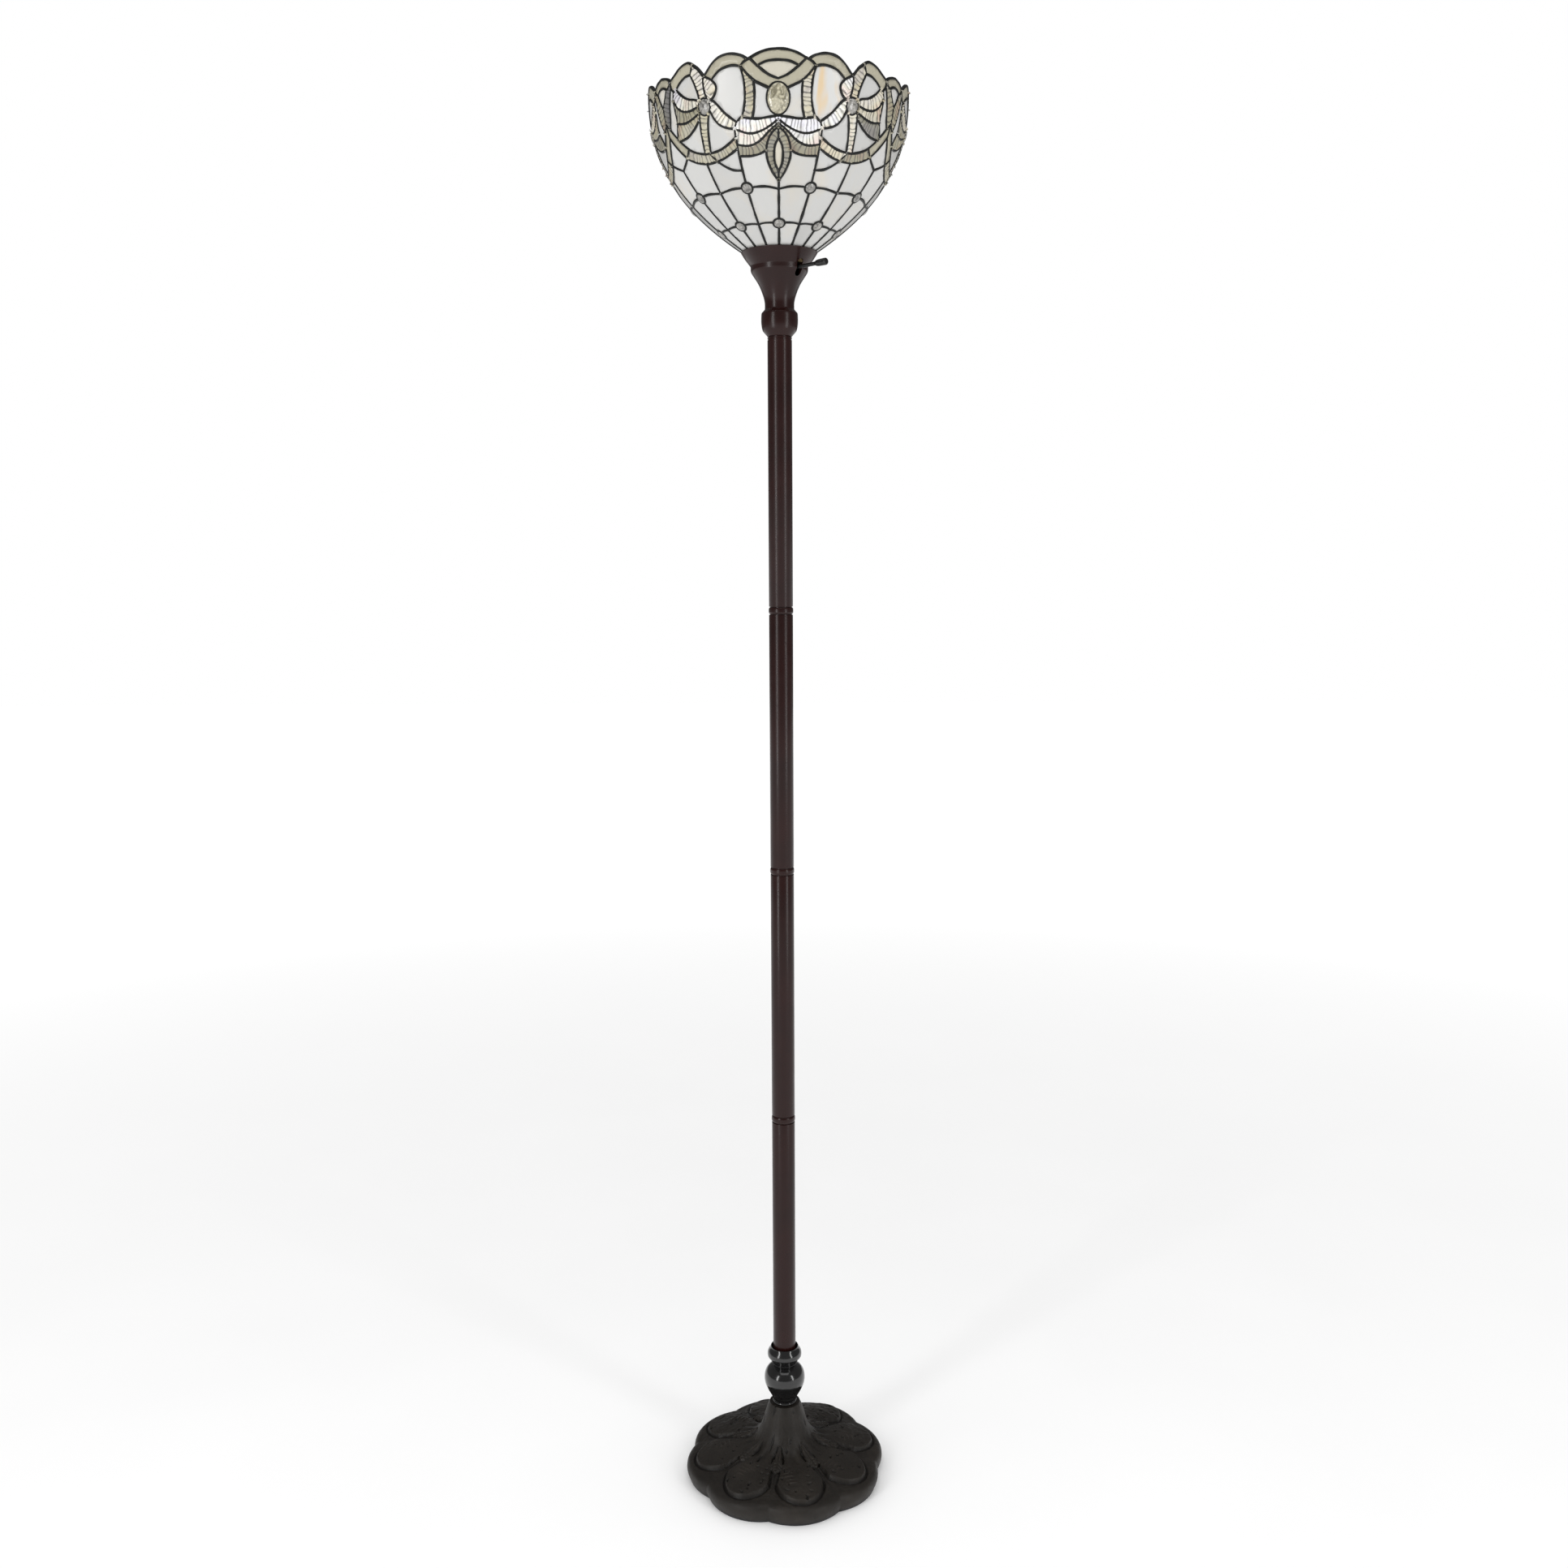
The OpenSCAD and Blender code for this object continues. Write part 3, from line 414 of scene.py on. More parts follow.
def flat_sector():
    """A bmesh of the sector in the plane, with leads marked, and each face's glass and folds."""
    runs, outline = sector_edges()
    outline = [p for k, p in enumerate(outline) if p != outline[k - 1]]
    points, edges = [], []
    for run in runs:
        start = len(points)
        points += run
        edges += [(start + k, start + k + 1) for k in range(len(run) - 1)]
    start = len(points)
    points += outline
    border = list(range(start, len(points)))
    points += fill_points(points)
    verts, new_edges, faces, _, old_edges, old_faces = delaunay_2d_cdt(
        [to_plane(p) for p in points], edges, [border], 1, 1e-4, True)
    bm = bmesh.new()
    lead = bm.edges.layers.int.new("lead")
    kind = bm.faces.layers.int.new("kind")
    pane = bm.faces.layers.int.new("pane")
    dusk_low = bm.faces.layers.float.new("dusk_low")
    dusk_high = bm.faces.layers.float.new("dusk_high")
    fold = bm.loops.layers.float.new("fold")
    corners = [bm.verts.new((v.x, v.y, 0)) for v in verts]
    made = [bm.faces.new([corners[i] for i in face]) for face, source in zip(faces, old_faces) if source]
    for edge, sources in zip(new_edges, old_edges):
        found = bm.edges.get([corners[i] for i in edge])
        if found and any(k < len(edges) for k in sources):
            found[lead] = 1
    bmesh.ops.delete(bm, geom=[v for v in bm.verts if not v.link_faces], context="VERTS")
    for edge in bm.edges:
        if len(edge.link_faces) == 1:
            a, b = (from_plane(v.co) for v in edge.verts)
            on_seam = min(abs(a[0]), abs(a[0] - SECTOR)) < 1e-3 and abs(a[0] - b[0]) < 1e-3
            edge[lead] = int(is_seam_lead(a, b) if on_seam else 1)
        if in_jewel(from_plane((edge.verts[0].co + edge.verts[1].co) / 2)):
            edge[lead] = 0
    group = flood(made, lead)
    for edge in bm.edges:
        if edge[lead] and len(edge.link_faces) == 2:
            one, two = edge.link_faces
            if group[one] == group[two]:
                edge[lead] = 0
    members = {}
    for face, number in group.items():
        face[pane] = number
        members.setdefault(number, []).append(face)
    for name, seeds in FILLS.items():
        for seed in seeds:
            for face in members[group[face_at(bm, seed)]]:
                face[kind] = KINDS.index(name)
    for seed, dusk_range, points in DRAPERY.values():
        line = smooth_line(points, 3.0)
        for face in members[group[face_at(bm, seed)]]:
            face[kind] = KINDS.index("drapery")
            face[dusk_low], face[dusk_high] = dusk_range
            for loop in face.loops:
                loop[fold] = along(line, from_plane(loop.vert.co))
    return bm


def whole_sheet():
    """The pattern on the whole bowl, as one sheet of triangles that share their edges."""
    bm = flat_sector()
    for vert in bm.verts:
        vert.co = on_bowl(*from_plane(vert.co))
    part = bm.verts[:] + bm.edges[:] + bm.faces[:]
    twin = bmesh.ops.duplicate(bm, geom=part)["geom"]
    twin_verts = [g for g in twin if isinstance(g, bmesh.types.BMVert)]
    bmesh.ops.scale(bm, vec=(-1, 1, 1), verts=twin_verts)
    pair = bm.verts[:] + bm.edges[:] + bm.faces[:]
    for k in (1, 2):
        copy = bmesh.ops.duplicate(bm, geom=pair)["geom"]
        bmesh.ops.rotate(bm, cent=(0, 0, 0), matrix=Matrix.Rotation(k * math.tau / 3, 3, "Z"),
                         verts=[g for g in copy if isinstance(g, bmesh.types.BMVert)])
    bmesh.ops.remove_doubles(bm, verts=bm.verts, dist=0.02 * MM)
    bmesh.ops.recalc_face_normals(bm, faces=bm.faces)
    if sum(f.normal.dot(f.calc_center_median().xy.to_3d()) for f in bm.faces) < 0:
        bmesh.ops.reverse_faces(bm, faces=bm.faces)
    lead, pane = bm.edges.layers.int["lead"], bm.faces.layers.int["pane"]
    for edge in bm.edges:
        if len({face[pane] for face in edge.link_faces}) == 2:
            edge[lead] = 1
    free = [v for v in bm.verts if not any(e[lead] for e in v.link_edges)]
    for _ in range(24):
        bmesh.ops.smooth_vert(bm, verts=free, factor=0.5, use_axis_x=True, use_axis_y=True,
                              use_axis_z=True)
    return bm


SHEET = "leaded_pattern"


def pattern_sheet():
    """A fresh bmesh of the whole pattern, made once and kept as a mesh until the lamp is done."""
    if SHEET not in bpy.data.meshes:
        made = whole_sheet()
        made.to_mesh(bpy.data.meshes.new(SHEET))
        made.free()
    bm = bmesh.new()
    bm.from_mesh(bpy.data.meshes[SHEET])
    return bm


def cut_panes(kind_names, inset):
    """The panes of some kinds, each its own island, drawn in a little from the leads' middle."""
    bm = pattern_sheet()
    kind = bm.faces.layers.int["kind"]
    lead = bm.edges.layers.int["lead"]
    wanted = {KINDS.index(name) for name in kind_names}
    bmesh.ops.delete(bm, geom=[f for f in bm.faces if f[kind] not in wanted], context="FACES")
    bmesh.ops.split_edges(bm, edges=[e for e in bm.edges if e[lead] and len(e.link_faces) == 2])
    shifts = {}
    for edge in bm.edges:
        if len(edge.link_faces) != 1:
            continue
        face = edge.link_faces[0]
        a, b = edge.verts
        inward = face.normal.cross(b.co - a.co).normalized()
        middle = (a.co + b.co) / 2
        if inward.dot(face.calc_center_median() - middle) < 0:
            inward.negate()
        for vert in (a, b):
            shifts.setdefault(vert, Vector()).__iadd__(inward)
    for vert, shift in shifts.items():
        if shift.length > 0.2:
            vert.co += shift.normalized() * inset
    return bm


def lead_links(bm):
    """The lead edges that meet at each vertex of the sheet."""
    lead = bm.edges.layers.int["lead"]
    links = {}
    for edge in bm.edges:
        if edge[lead]:
            for vert in edge.verts:
                links.setdefault(vert, []).append(edge)
    return links


def lead_joints(bm):
    """The places where three or more leads meet, or where one ends."""
    return [vert for vert, edges in lead_links(bm).items() if len(edges) != 2]


def lead_chains(bm):
    """Runs of lead from one joint to the next, as lists of vertices."""
    links = lead_links(bm)
    used, chains = set(), []
    for start in [v for v in links if len(links[v]) != 2] + list(links):
        for edge in links[start]:
            if edge in used:
                continue
            chain = [start]
            while edge:
                used.add(edge)
                chain.append(edge.other_vert(chain[-1]))
                here = links[chain[-1]]
                edge = next((e for e in here if e not in used), None) if len(here) == 2 else None
            chains.append(chain)
    return chains


def join(bm, part):
    """Adds one bmesh to another and frees it."""
    mesh = bpy.data.meshes.new("part")
    part.to_mesh(mesh)
    part.free()
    bm.from_mesh(mesh)
    bpy.data.meshes.remove(mesh)


def islands(bm):
    """Lists of faces that hang together."""
    seen, found = set(), []
    for face in bm.faces:
        if face in seen:
            continue
        seen.add(face)
        stack, island = [face], []
        while stack:
            here = stack.pop()
            island.append(here)
            for edge in here.edges:
                for other in edge.link_faces:
                    if other not in seen:
                        seen.add(other)
                        stack.append(other)
        found.append(island)
    return found


# ---------------------------------------------------------------- making pieces


def finish_piece(name, bm, finish, body, stands_for=(), sharp=40):
    """Turns a bmesh into a piece of the lamp that rides on a body."""
    mesh = bpy.data.meshes.new(name)
    bm.to_mesh(mesh)
    bm.free()
    mesh.materials.append(finish)
    mesh.shade_smooth()
    mesh.set_sharp_from_angle(angle=math.radians(sharp))
    piece = bpy.data.objects.new(name, mesh)
    bpy.context.scene.collection.objects.link(piece)
    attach(piece, body)
    if stands_for:
        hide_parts(*stands_for)
    return piece


def turned(outline, steps=96):
    """A closed outline of (radius, height) in mm, spun an eighth of the way round and then copied."""
    bm = bmesh.new()
    verts = [bm.verts.new((r * MM, 0, z * MM)) for r, z in outline]
    edges = [bm.edges.new(pair) for pair in zip(verts, verts[1:] + verts[:1])]
    bmesh.ops.spin(bm, geom=verts + edges, cent=(0, 0, 0), axis=(0, 0, 1), angle=math.tau / 8,
                   steps=steps // 8, use_merge=False, use_duplicate=False)
    for turn in (math.tau / 8, math.tau / 4, math.tau / 2):
        copy = bmesh.ops.duplicate(bm, geom=bm.verts[:] + bm.edges[:] + bm.faces[:])["geom"]
        bmesh.ops.rotate(bm, cent=(0, 0, 0), matrix=Matrix.Rotation(turn, 3, "Z"),
                         verts=[g for g in copy if isinstance(g, bmesh.types.BMVert)])
    bmesh.ops.remove_doubles(bm, verts=bm.verts, dist=0.001 * MM)
    bmesh.ops.dissolve_degenerate(bm, edges=bm.edges, dist=0.001 * MM)
    bmesh.ops.recalc_face_normals(bm, faces=bm.faces)
    return bm


def arc(centre, radius, start, end, count):
    """Points of an arc in an outline, its angles in degrees from straight out."""
    turns = [math.radians(start + (end - start) * k / count) for k in range(count + 1)]
    return [(centre[0] + radius * math.cos(a), centre[1] + radius * math.sin(a)) for a in turns]


def flowing(points, count=6):
    """An outline stretch that runs smoothly through its points."""
    ends = [points[0]] + list(points) + [points[-1]]
    run = []
    for k in range(1, len(ends) - 2):
        a, b, c, d = (Vector(p) for p in ends[k - 1 : k + 3])
        for i in range(count):
            t = i / count
            run.append(tuple(0.5 * (2 * b + (c - a) * t + (2 * a - 5 * b + 4 * c - d) * t * t
                                    + (3 * b - a - 3 * c + d) * t ** 3)))
    return run + [tuple(points[-1])]


def cut_away(piece, cutter):
    """Takes a cutter's shape out of a piece, then throws the cutter away."""
    mesh = bpy.data.meshes.new("cutter")
    cutter.to_mesh(mesh)
    cutter.free()
    tool = bpy.data.objects.new("cutter", mesh)
    bpy.context.scene.collection.objects.link(tool)
    trim = piece.modifiers.new("cut", "BOOLEAN")
    trim.object = tool
    trim.operation = "DIFFERENCE"
    trim.solver = "EXACT"
    bpy.context.view_layer.update()
    done = bpy.data.meshes.new_from_object(piece.evaluated_get(bpy.context.evaluated_depsgraph_get()))
    piece.modifiers.remove(trim)
    old = piece.data
    piece.data = done
    bpy.data.meshes.remove(old)
    bpy.data.objects.remove(tool)
    bpy.data.meshes.remove(mesh)


# ---------------------------------------------------------------- finishes


class Finish:
    """A node tree being built round a Principled shader."""

    def __init__(self, name):
        self.material = bpy.data.materials.new(name)
        self.material.use_nodes = True
        self.tree = self.material.node_tree
        self.shader = self.tree.nodes["Principled BSDF"]
        self.place = self.tree.nodes.new("ShaderNodeTexCoord").outputs["Object"]

    def set(self, **values):
        for name, value in values.items():
            self.shader.inputs[name.replace("_", " ")].default_value = value
        return self

    def node(self, kind, inputs=None, **settings):
        made = self.tree.nodes.new(kind)
        for key, value in settings.items():
            setattr(made, key, value)
        for key, value in (inputs or {}).items():
            if isinstance(value, bpy.types.NodeSocket):
                self.tree.links.new(value, made.inputs[key])
            else:
                made.inputs[key].default_value = value
        return made

    def noise(self, scale, detail=3.0, rough=0.5, distortion=0.0, place=None, stretch=None):
        """A noise value; stretch scales the place along X, Y and Z first."""
        place = place or self.place
        if stretch:
            place = self.node("ShaderNodeMapping", {"Vector": place, "Scale": stretch}).outputs[0]
        return self.node("ShaderNodeTexNoise", {
            "Vector": place, "Scale": scale, "Detail": detail, "Roughness": rough, "Distortion": distortion,
        }).outputs["Fac"]

    def cells(self, scale, feature="F1", place=None):
        return self.node("ShaderNodeTexVoronoi", {"Vector": place or self.place, "Scale": scale},
                         feature=feature).outputs["Distance"]

    def read(self, attribute):
        return self.node("ShaderNodeAttribute", attribute_name=attribute).outputs["Fac"]

    def math(self, operation, a, b=0.0, clamp=False):
        return self.node("ShaderNodeMath", {0: a, 1: b}, operation=operation, use_clamp=clamp).outputs[0]

    def range(self, value, from_low, from_high, low, high):
        return self.node("ShaderNodeMapRange", {
            "Value": value, "From Min": from_low, "From Max": from_high, "To Min": low, "To Max": high,
        }).outputs[0]

    def ramp(self, value, *stops):
        """Colours at places along a value, as (place, colour) pairs."""
        made = self.node("ShaderNodeValToRGB", {"Fac": value})
        band = made.color_ramp
        while len(band.elements) < len(stops):
            band.elements.new(0.5)
        for element, (place, colour) in zip(band.elements, stops):
            element.position = place
            element.color = (*colour[:3], 1)
        return made.outputs["Color"]

    def mix(self, fac, a, b, blend="MIX"):
        a, b = (v if isinstance(v, bpy.types.NodeSocket) else (*v[:3], 1) for v in (a, b))
        return self.node("ShaderNodeMix", {0: fac, 6: a, 7: b}, data_type="RGBA",
                         blend_type=blend).outputs[2]

    def colour(self, socket):
        self.tree.links.new(socket, self.shader.inputs["Base Color"])
        return self

    def roughness(self, socket):
        self.tree.links.new(socket, self.shader.inputs["Roughness"])
        return self

    def bump(self, height, strength, distance_mm):
        made = self.node("ShaderNodeBump", {
            "Height": height, "Strength": strength, "Distance": distance_mm * MM})
        self.tree.links.new(made.outputs[0], self.shader.inputs["Normal"])
        return self


def shade_of(colour, factor):
    return tuple(min(1.0, c * factor) for c in colour[:3])


def colours():
    return bpy.context.scene.torchiere_colours


def sizes():
    return bpy.context.scene.torchiere_sizes


def bronze_paint(name="bronze_paint"):
    """Sprayed dark bronze: mottled brown under a satin clear coat, with a fine orange-peel."""
    base = colours().bronze
    f = Finish(name).set(Specular_IOR_Level=0.22, Coat_Weight=0.12, Coat_Roughness=0.2)
    cloud = f.noise(18, 4, 0.6)
    f.colour(f.ramp(cloud, (0.3, shade_of(base, 0.8)), (0.7, shade_of(base, 1.25))))
    f.roughness(f.range(f.noise(42, 3, 0.6), 0.3, 0.7, 0.25, 0.34))
    return f.bump(f.noise(900, 2, 0.5), 0.12, 0.06).material


def gloss_black():
    """Thick black enamel, with a faint haze and slow waves in the coat."""
    base = colours().enamel
    f = Finish("gloss_black").set(Specular_IOR_Level=0.5, Coat_Weight=0.5, Coat_Roughness=0.05)
    f.colour(f.ramp(f.noise(30, 3), (0.35, base), (0.75, shade_of(base, 1.9))))
    f.roughness(f.range(f.noise(55, 4, 0.6), 0.35, 0.7, 0.12, 0.22))
    return f.bump(f.noise(60, 2, 0.4), 0.1, 0.15).material


def cast_bronze():
    """Painted sand casting: grain and small pits, with paint thinned on the high places and painted shade
    darkening the grooves, pits and hollows.
    """
    base = colours().casting
    f = Finish("cast_bronze").set(Metallic=0.15, Specular_IOR_Level=0.4)
    # Shade and wear value from the foot: low values give painted shade, high ones worn paint
    shade_and_wear = f.read("relief_shade_and_wear")
    worn = f.math("MULTIPLY", f.range(shade_and_wear, 0.35, 1.0, 0.0, 1.0),
                  f.range(f.noise(70, 4, 0.7), 0.4, 0.65, 0.0, 1.0))
    body = f.ramp(f.noise(26, 5, 0.6), (0.25, shade_of(base, 0.62)), (0.55, base),
                  (0.8, shade_of(base, 1.5)))
    # Painted shade: grooves, pits and hollows are darkened towards a near-black shade of the casting colour
    hollow = f.mix(f.range(shade_and_wear, -0.8, 0.1, 0.75, 0.0), body, shade_of(base, 0.22))
    f.colour(f.mix(f.math("MULTIPLY", worn, 0.55), hollow, shade_of(base, 2.6)))
    f.roughness(f.range(f.noise(48, 4, 0.6), 0.3, 0.7, 0.42, 0.6))
    grain = f.math("ADD", f.noise(420, 4, 0.65), f.math("MULTIPLY", f.cells(260), 0.7))
    return f.bump(grain, 0.35, 0.5).material


def lead_patina():
    """Lead and solder under black patina, a little uneven and dully metallic."""
    base = colours().lead
    f = Finish("lead_patina").set(Metallic=0.55, Specular_IOR_Level=0.5)
    cloud = f.noise(90, 4, 0.65)
    f.colour(f.ramp(cloud, (0.3, shade_of(base, 0.6)), (0.62, base), (0.8, (0.05, 0.048, 0.044))))
    f.roughness(f.range(f.noise(160, 3, 0.6), 0.3, 0.7, 0.34, 0.55))
    return f.bump(f.noise(240, 3, 0.6), 0.3, 0.25).material


def opal_glass(name, base, wisp, amount=0.5, streaked=0.0):
    """Opalescent glass: milky body, drifting wisps and, in a share of the panes, a narrow streak."""
    f = Finish(name).set(Specular_IOR_Level=0.28, IOR=1.52, Subsurface_Weight=0.08,
                         Subsurface_Scale=0.004)
    f.shader.inputs["Subsurface Radius"].default_value = (1.0, 0.95, 0.85)
    drift = f.noise(14, 4, 0.55, 1.6, stretch=(1, 1, 0.45))
    fine = f.noise(60, 4, 0.6, 0.8, stretch=(1, 1, 0.4))
    tone = f.read("tint")
    veil = f.math("MULTIPLY", f.range(drift, 0.5, 0.72, 0.0, amount), f.range(tone, 0.2, 0.8, 0.25, 1.0))
    body = f.mix(veil, base, wisp)
    body = f.mix(f.range(fine, 0.55, 0.75, 0.0, 0.16), body, shade_of(base, 1.12))
    if streaked:
        chosen = f.math("GREATER_THAN", tone, 1 - streaked)
        band = f.ramp(f.noise(48, 2, 0.5, 0.6, stretch=(1, 1, 0.26)), (0.5, (0, 0, 0)),
                      (0.68, (1, 1, 1)))
        patch = f.math("MULTIPLY", chosen, f.math("MULTIPLY", band, 0.6))
        body = f.mix(patch, body, (0.66, 0.44, 0.17))
    tint = f.range(tone, 0.0, 1.0, 0.93, 1.05)
    f.colour(f.mix(1.0, body, f.node("ShaderNodeCombineColor", {0: tint, 1: tint, 2: tint}).outputs[0],
                   "MULTIPLY"))
    f.roughness(f.range(f.noise(35, 3), 0.3, 0.7, 0.14, 0.26))
    return f.bump(f.noise(46, 2, 0.45), 0.16, 0.6).material


def drapery_glass():
    """Folded pearly glass: pale ridges, painted shade in the creases and a drift of rose, lilac and straw.
    """
    f = Finish("drapery_glass").set(Specular_IOR_Level=0.6, Coat_Weight=0.35, Coat_Roughness=0.06)
    sheet = f.ramp(f.read("dusk"), (0.0, (0.80, 0.80, 0.82)), (0.2, (0.72, 0.72, 0.70)),
                   (0.38, (0.68, 0.64, 0.55)),
                   (0.6, (0.50, 0.47, 0.37)), (0.8, (0.30, 0.285, 0.22)), (1.0, (0.19, 0.185, 0.17)))
    drift = f.noise(34, 3, 0.6, 0.6)
    hue = f.ramp(drift, (0.34, (0.84, 0.82, 0.93)), (0.45, (1.0, 1.0, 1.0)), (0.56, (1.0, 0.97, 0.84)),
                 (0.66, (0.96, 0.78, 0.72)))
    body = f.mix(0.85, sheet, f.mix(1.0, sheet, hue, "MULTIPLY"))
    smoke = f.range(f.noise(75, 4, 0.65), 0.52, 0.72, 0.0, 0.55)
    body = f.mix(smoke, body, f.mix(1.0, body, (0.42, 0.40, 0.38), "MULTIPLY"))
    # Painted shade: at the bottom of each fold's valley the colour is pulled towards the dark colour of the
    # creases
    turn = f.math("FRACT", f.read("fold_phase"))
    line = f.ramp(turn, (0.0, (0.9, 0.9, 0.9)), (0.10, (0.55, 0.55, 0.55)), (0.24, (0, 0, 0)),
                  (0.78, (0, 0, 0)),
                  (0.92, (0.6, 0.6, 0.6)), (1.0, (0.9, 0.9, 0.9)))
    painted_crease_mask = f.math("MULTIPLY", line, f.range(f.noise(110, 3, 0.6), 0.3, 0.55, 0.35, 1.0))
    f.colour(f.mix(painted_crease_mask, body, colours().crease_shade_colour))
    f.roughness(f.range(f.noise(60, 3), 0.3, 0.7, 0.14, 0.28))
    return f.bump(f.noise(120, 3, 0.5), 0.2, 0.4).material


def hammered_glass(name, base, deep):
    """Pressed jewel glass with a hammered face, darker patches at random, and a painted highlight in the
    middle of every hammer mark.
    """
    f = Finish(name).set(Specular_IOR_Level=0.6, IOR=1.52, Coat_Weight=0.5, Coat_Roughness=0.04)
    dimple_and_highlight = f.cells(300, "SMOOTH_F1")
    body = f.mix(f.range(f.noise(120, 3, 0.6, 1.2), 0.42, 0.6, 0.0, 0.9), base, deep)
    # Painted highlight: the middle of each hammer mark is lightened towards a brighter shade of the body
    # colour
    f.colour(f.mix(f.range(dimple_and_highlight, 0.05, 0.4, 0.6, 0.0), body, shade_of(base, 1.9)))
    f.roughness(f.range(f.noise(80, 2), 0.3, 0.7, 0.06, 0.16))
    return f.bump(dimple_and_highlight, 0.7, 1.0).material


def metal(name, base, rough, metallic=1.0, grain=300, bump=0.1):
    """Bare or plated metal with handling marks."""
    f = Finish(name).set(Metallic=metallic)
    f.colour(f.ramp(f.noise(40, 4, 0.6), (0.3, shade_of(base, 0.75)), (0.7, shade_of(base, 1.1))))
    f.roughness(f.range(f.noise(70, 3), 0.3, 0.7, rough * 0.8, rough * 1.3))
    return f.bump(f.noise(grain, 2), bump, 0.1).material


def moulded(name, base, rough, grain=350):
    """Moulded plastic or rubber with a fine even grain."""
    f = Finish(name).set(Specular_IOR_Level=0.45)
    f.colour(f.ramp(f.noise(60, 3), (0.3, shade_of(base, 0.8)), (0.7, shade_of(base, 1.3))))
    f.roughness(f.range(f.noise(110, 3), 0.3, 0.7, rough * 0.85, rough * 1.2))
    return f.bump(f.noise(grain, 3), 0.15, 0.1).material


def felt():
    """Pressed felt: matted fibres at two scales."""
    base = (0.018, 0.018, 0.02)
    f = Finish("felt").set(Specular_IOR_Level=0.2, Sheen_Weight=0.4, Sheen_Roughness=0.5)
    fibre = f.noise(700, 5, 0.75, 1.4)
    f.colour(f.ramp(fibre, (0.3, shade_of(base, 0.5)), (0.7, shade_of(base, 2.0))))
    f.set(Roughness=0.95)
    return f.bump(fibre, 0.6, 0.4).material


def frosted_bulb():
    """Inside-frosted bulb glass."""
    base = (0.80, 0.79, 0.75)
    f = Finish("frosted_bulb").set(Specular_IOR_Level=0.5, Coat_Weight=0.6, Coat_Roughness=0.05,
                                   Subsurface_Weight=0.15, Subsurface_Scale=0.01)
    f.colour(f.ramp(f.noise(26, 2), (0.3, shade_of(base, 0.96)), (0.7, shade_of(base, 1.04))))
    f.roughness(f.range(f.noise(30, 2), 0.3, 0.7, 0.2, 0.28))
    return f.material


# ---------------------------------------------------------------- properties


class TorchiereSizes(bpy.types.PropertyGroup):
    lead_width: FloatProperty(
        name="Lead Width", description="Width of the lead lines on the bowl, in millimetres",
        default=3.9, min=2.0, max=8.0)
    glass_thickness: FloatProperty(
        name="Glass Thickness", description="Thickness of the glass pieces, in millimetres",
        default=GLASS_THICK, min=1.0, max=5.0)
    fold_pitch: FloatProperty(
        name="Fold Pitch", description="Distance between two folds of the drapery glass, in millimetres",
        default=4.7, min=2.0, max=12.0)
    fold_height: FloatProperty(
        name="Fold Height", description="Height of the drapery glass's folds, in millimetres",
        default=0.8, min=0.0, max=2.0)
    petal_height: FloatProperty(
        name="Petal Height", description="Height of the foot's cast petals, in millimetres",
        default=4.4, min=0.0, max=6.0)
    seed: IntProperty(
        name="Seed", description="Chooses how the glass pieces differ in tone", default=2, min=0)


class TorchiereColours(bpy.types.PropertyGroup):
    bronze: FloatVectorProperty(
        name="Bronze", description="Paint of the pole and cup", subtype="COLOR",
        default=(0.0155, 0.0040, 0.0034), min=0.0, max=1.0)
    enamel: FloatVectorProperty(
        name="Enamel", description="Gloss black of the neck ball, its rings and the key", subtype="COLOR",
        default=(0.005, 0.005, 0.005), min=0.0, max=1.0)
    casting: FloatVectorProperty(
        name="Casting", description="Paint of the cast foot", subtype="COLOR",
        default=(0.0180, 0.0142, 0.0108), min=0.0, max=1.0)
    lead: FloatVectorProperty(
        name="Lead", description="Patina of the lead lines", subtype="COLOR",
        default=(0.014, 0.015, 0.014), min=0.0, max=1.0)
    opal: FloatVectorProperty(
        name="Opal", description="White opal glass", subtype="COLOR",
        default=(0.55, 0.548, 0.535), min=0.0, max=1.0)
    beige: FloatVectorProperty(
        name="Beige", description="Beige glass of the bands", subtype="COLOR",
        default=(0.40, 0.375, 0.29), min=0.0, max=1.0)
    pearl: FloatVectorProperty(
        name="Pearl", description="Body of the round and bow-knot jewels", subtype="COLOR",
        default=(0.30, 0.29, 0.27), min=0.0, max=1.0)
    # Painted shade: the colour that the creases of the drapery glass are darkened towards
    crease_shade_colour: FloatVectorProperty(
        name="Crease", description="Creases of the drapery glass", subtype="COLOR",
        default=(0.045, 0.044, 0.042), min=0.0, max=1.0)


# ---------------------------------------------------------------- operators


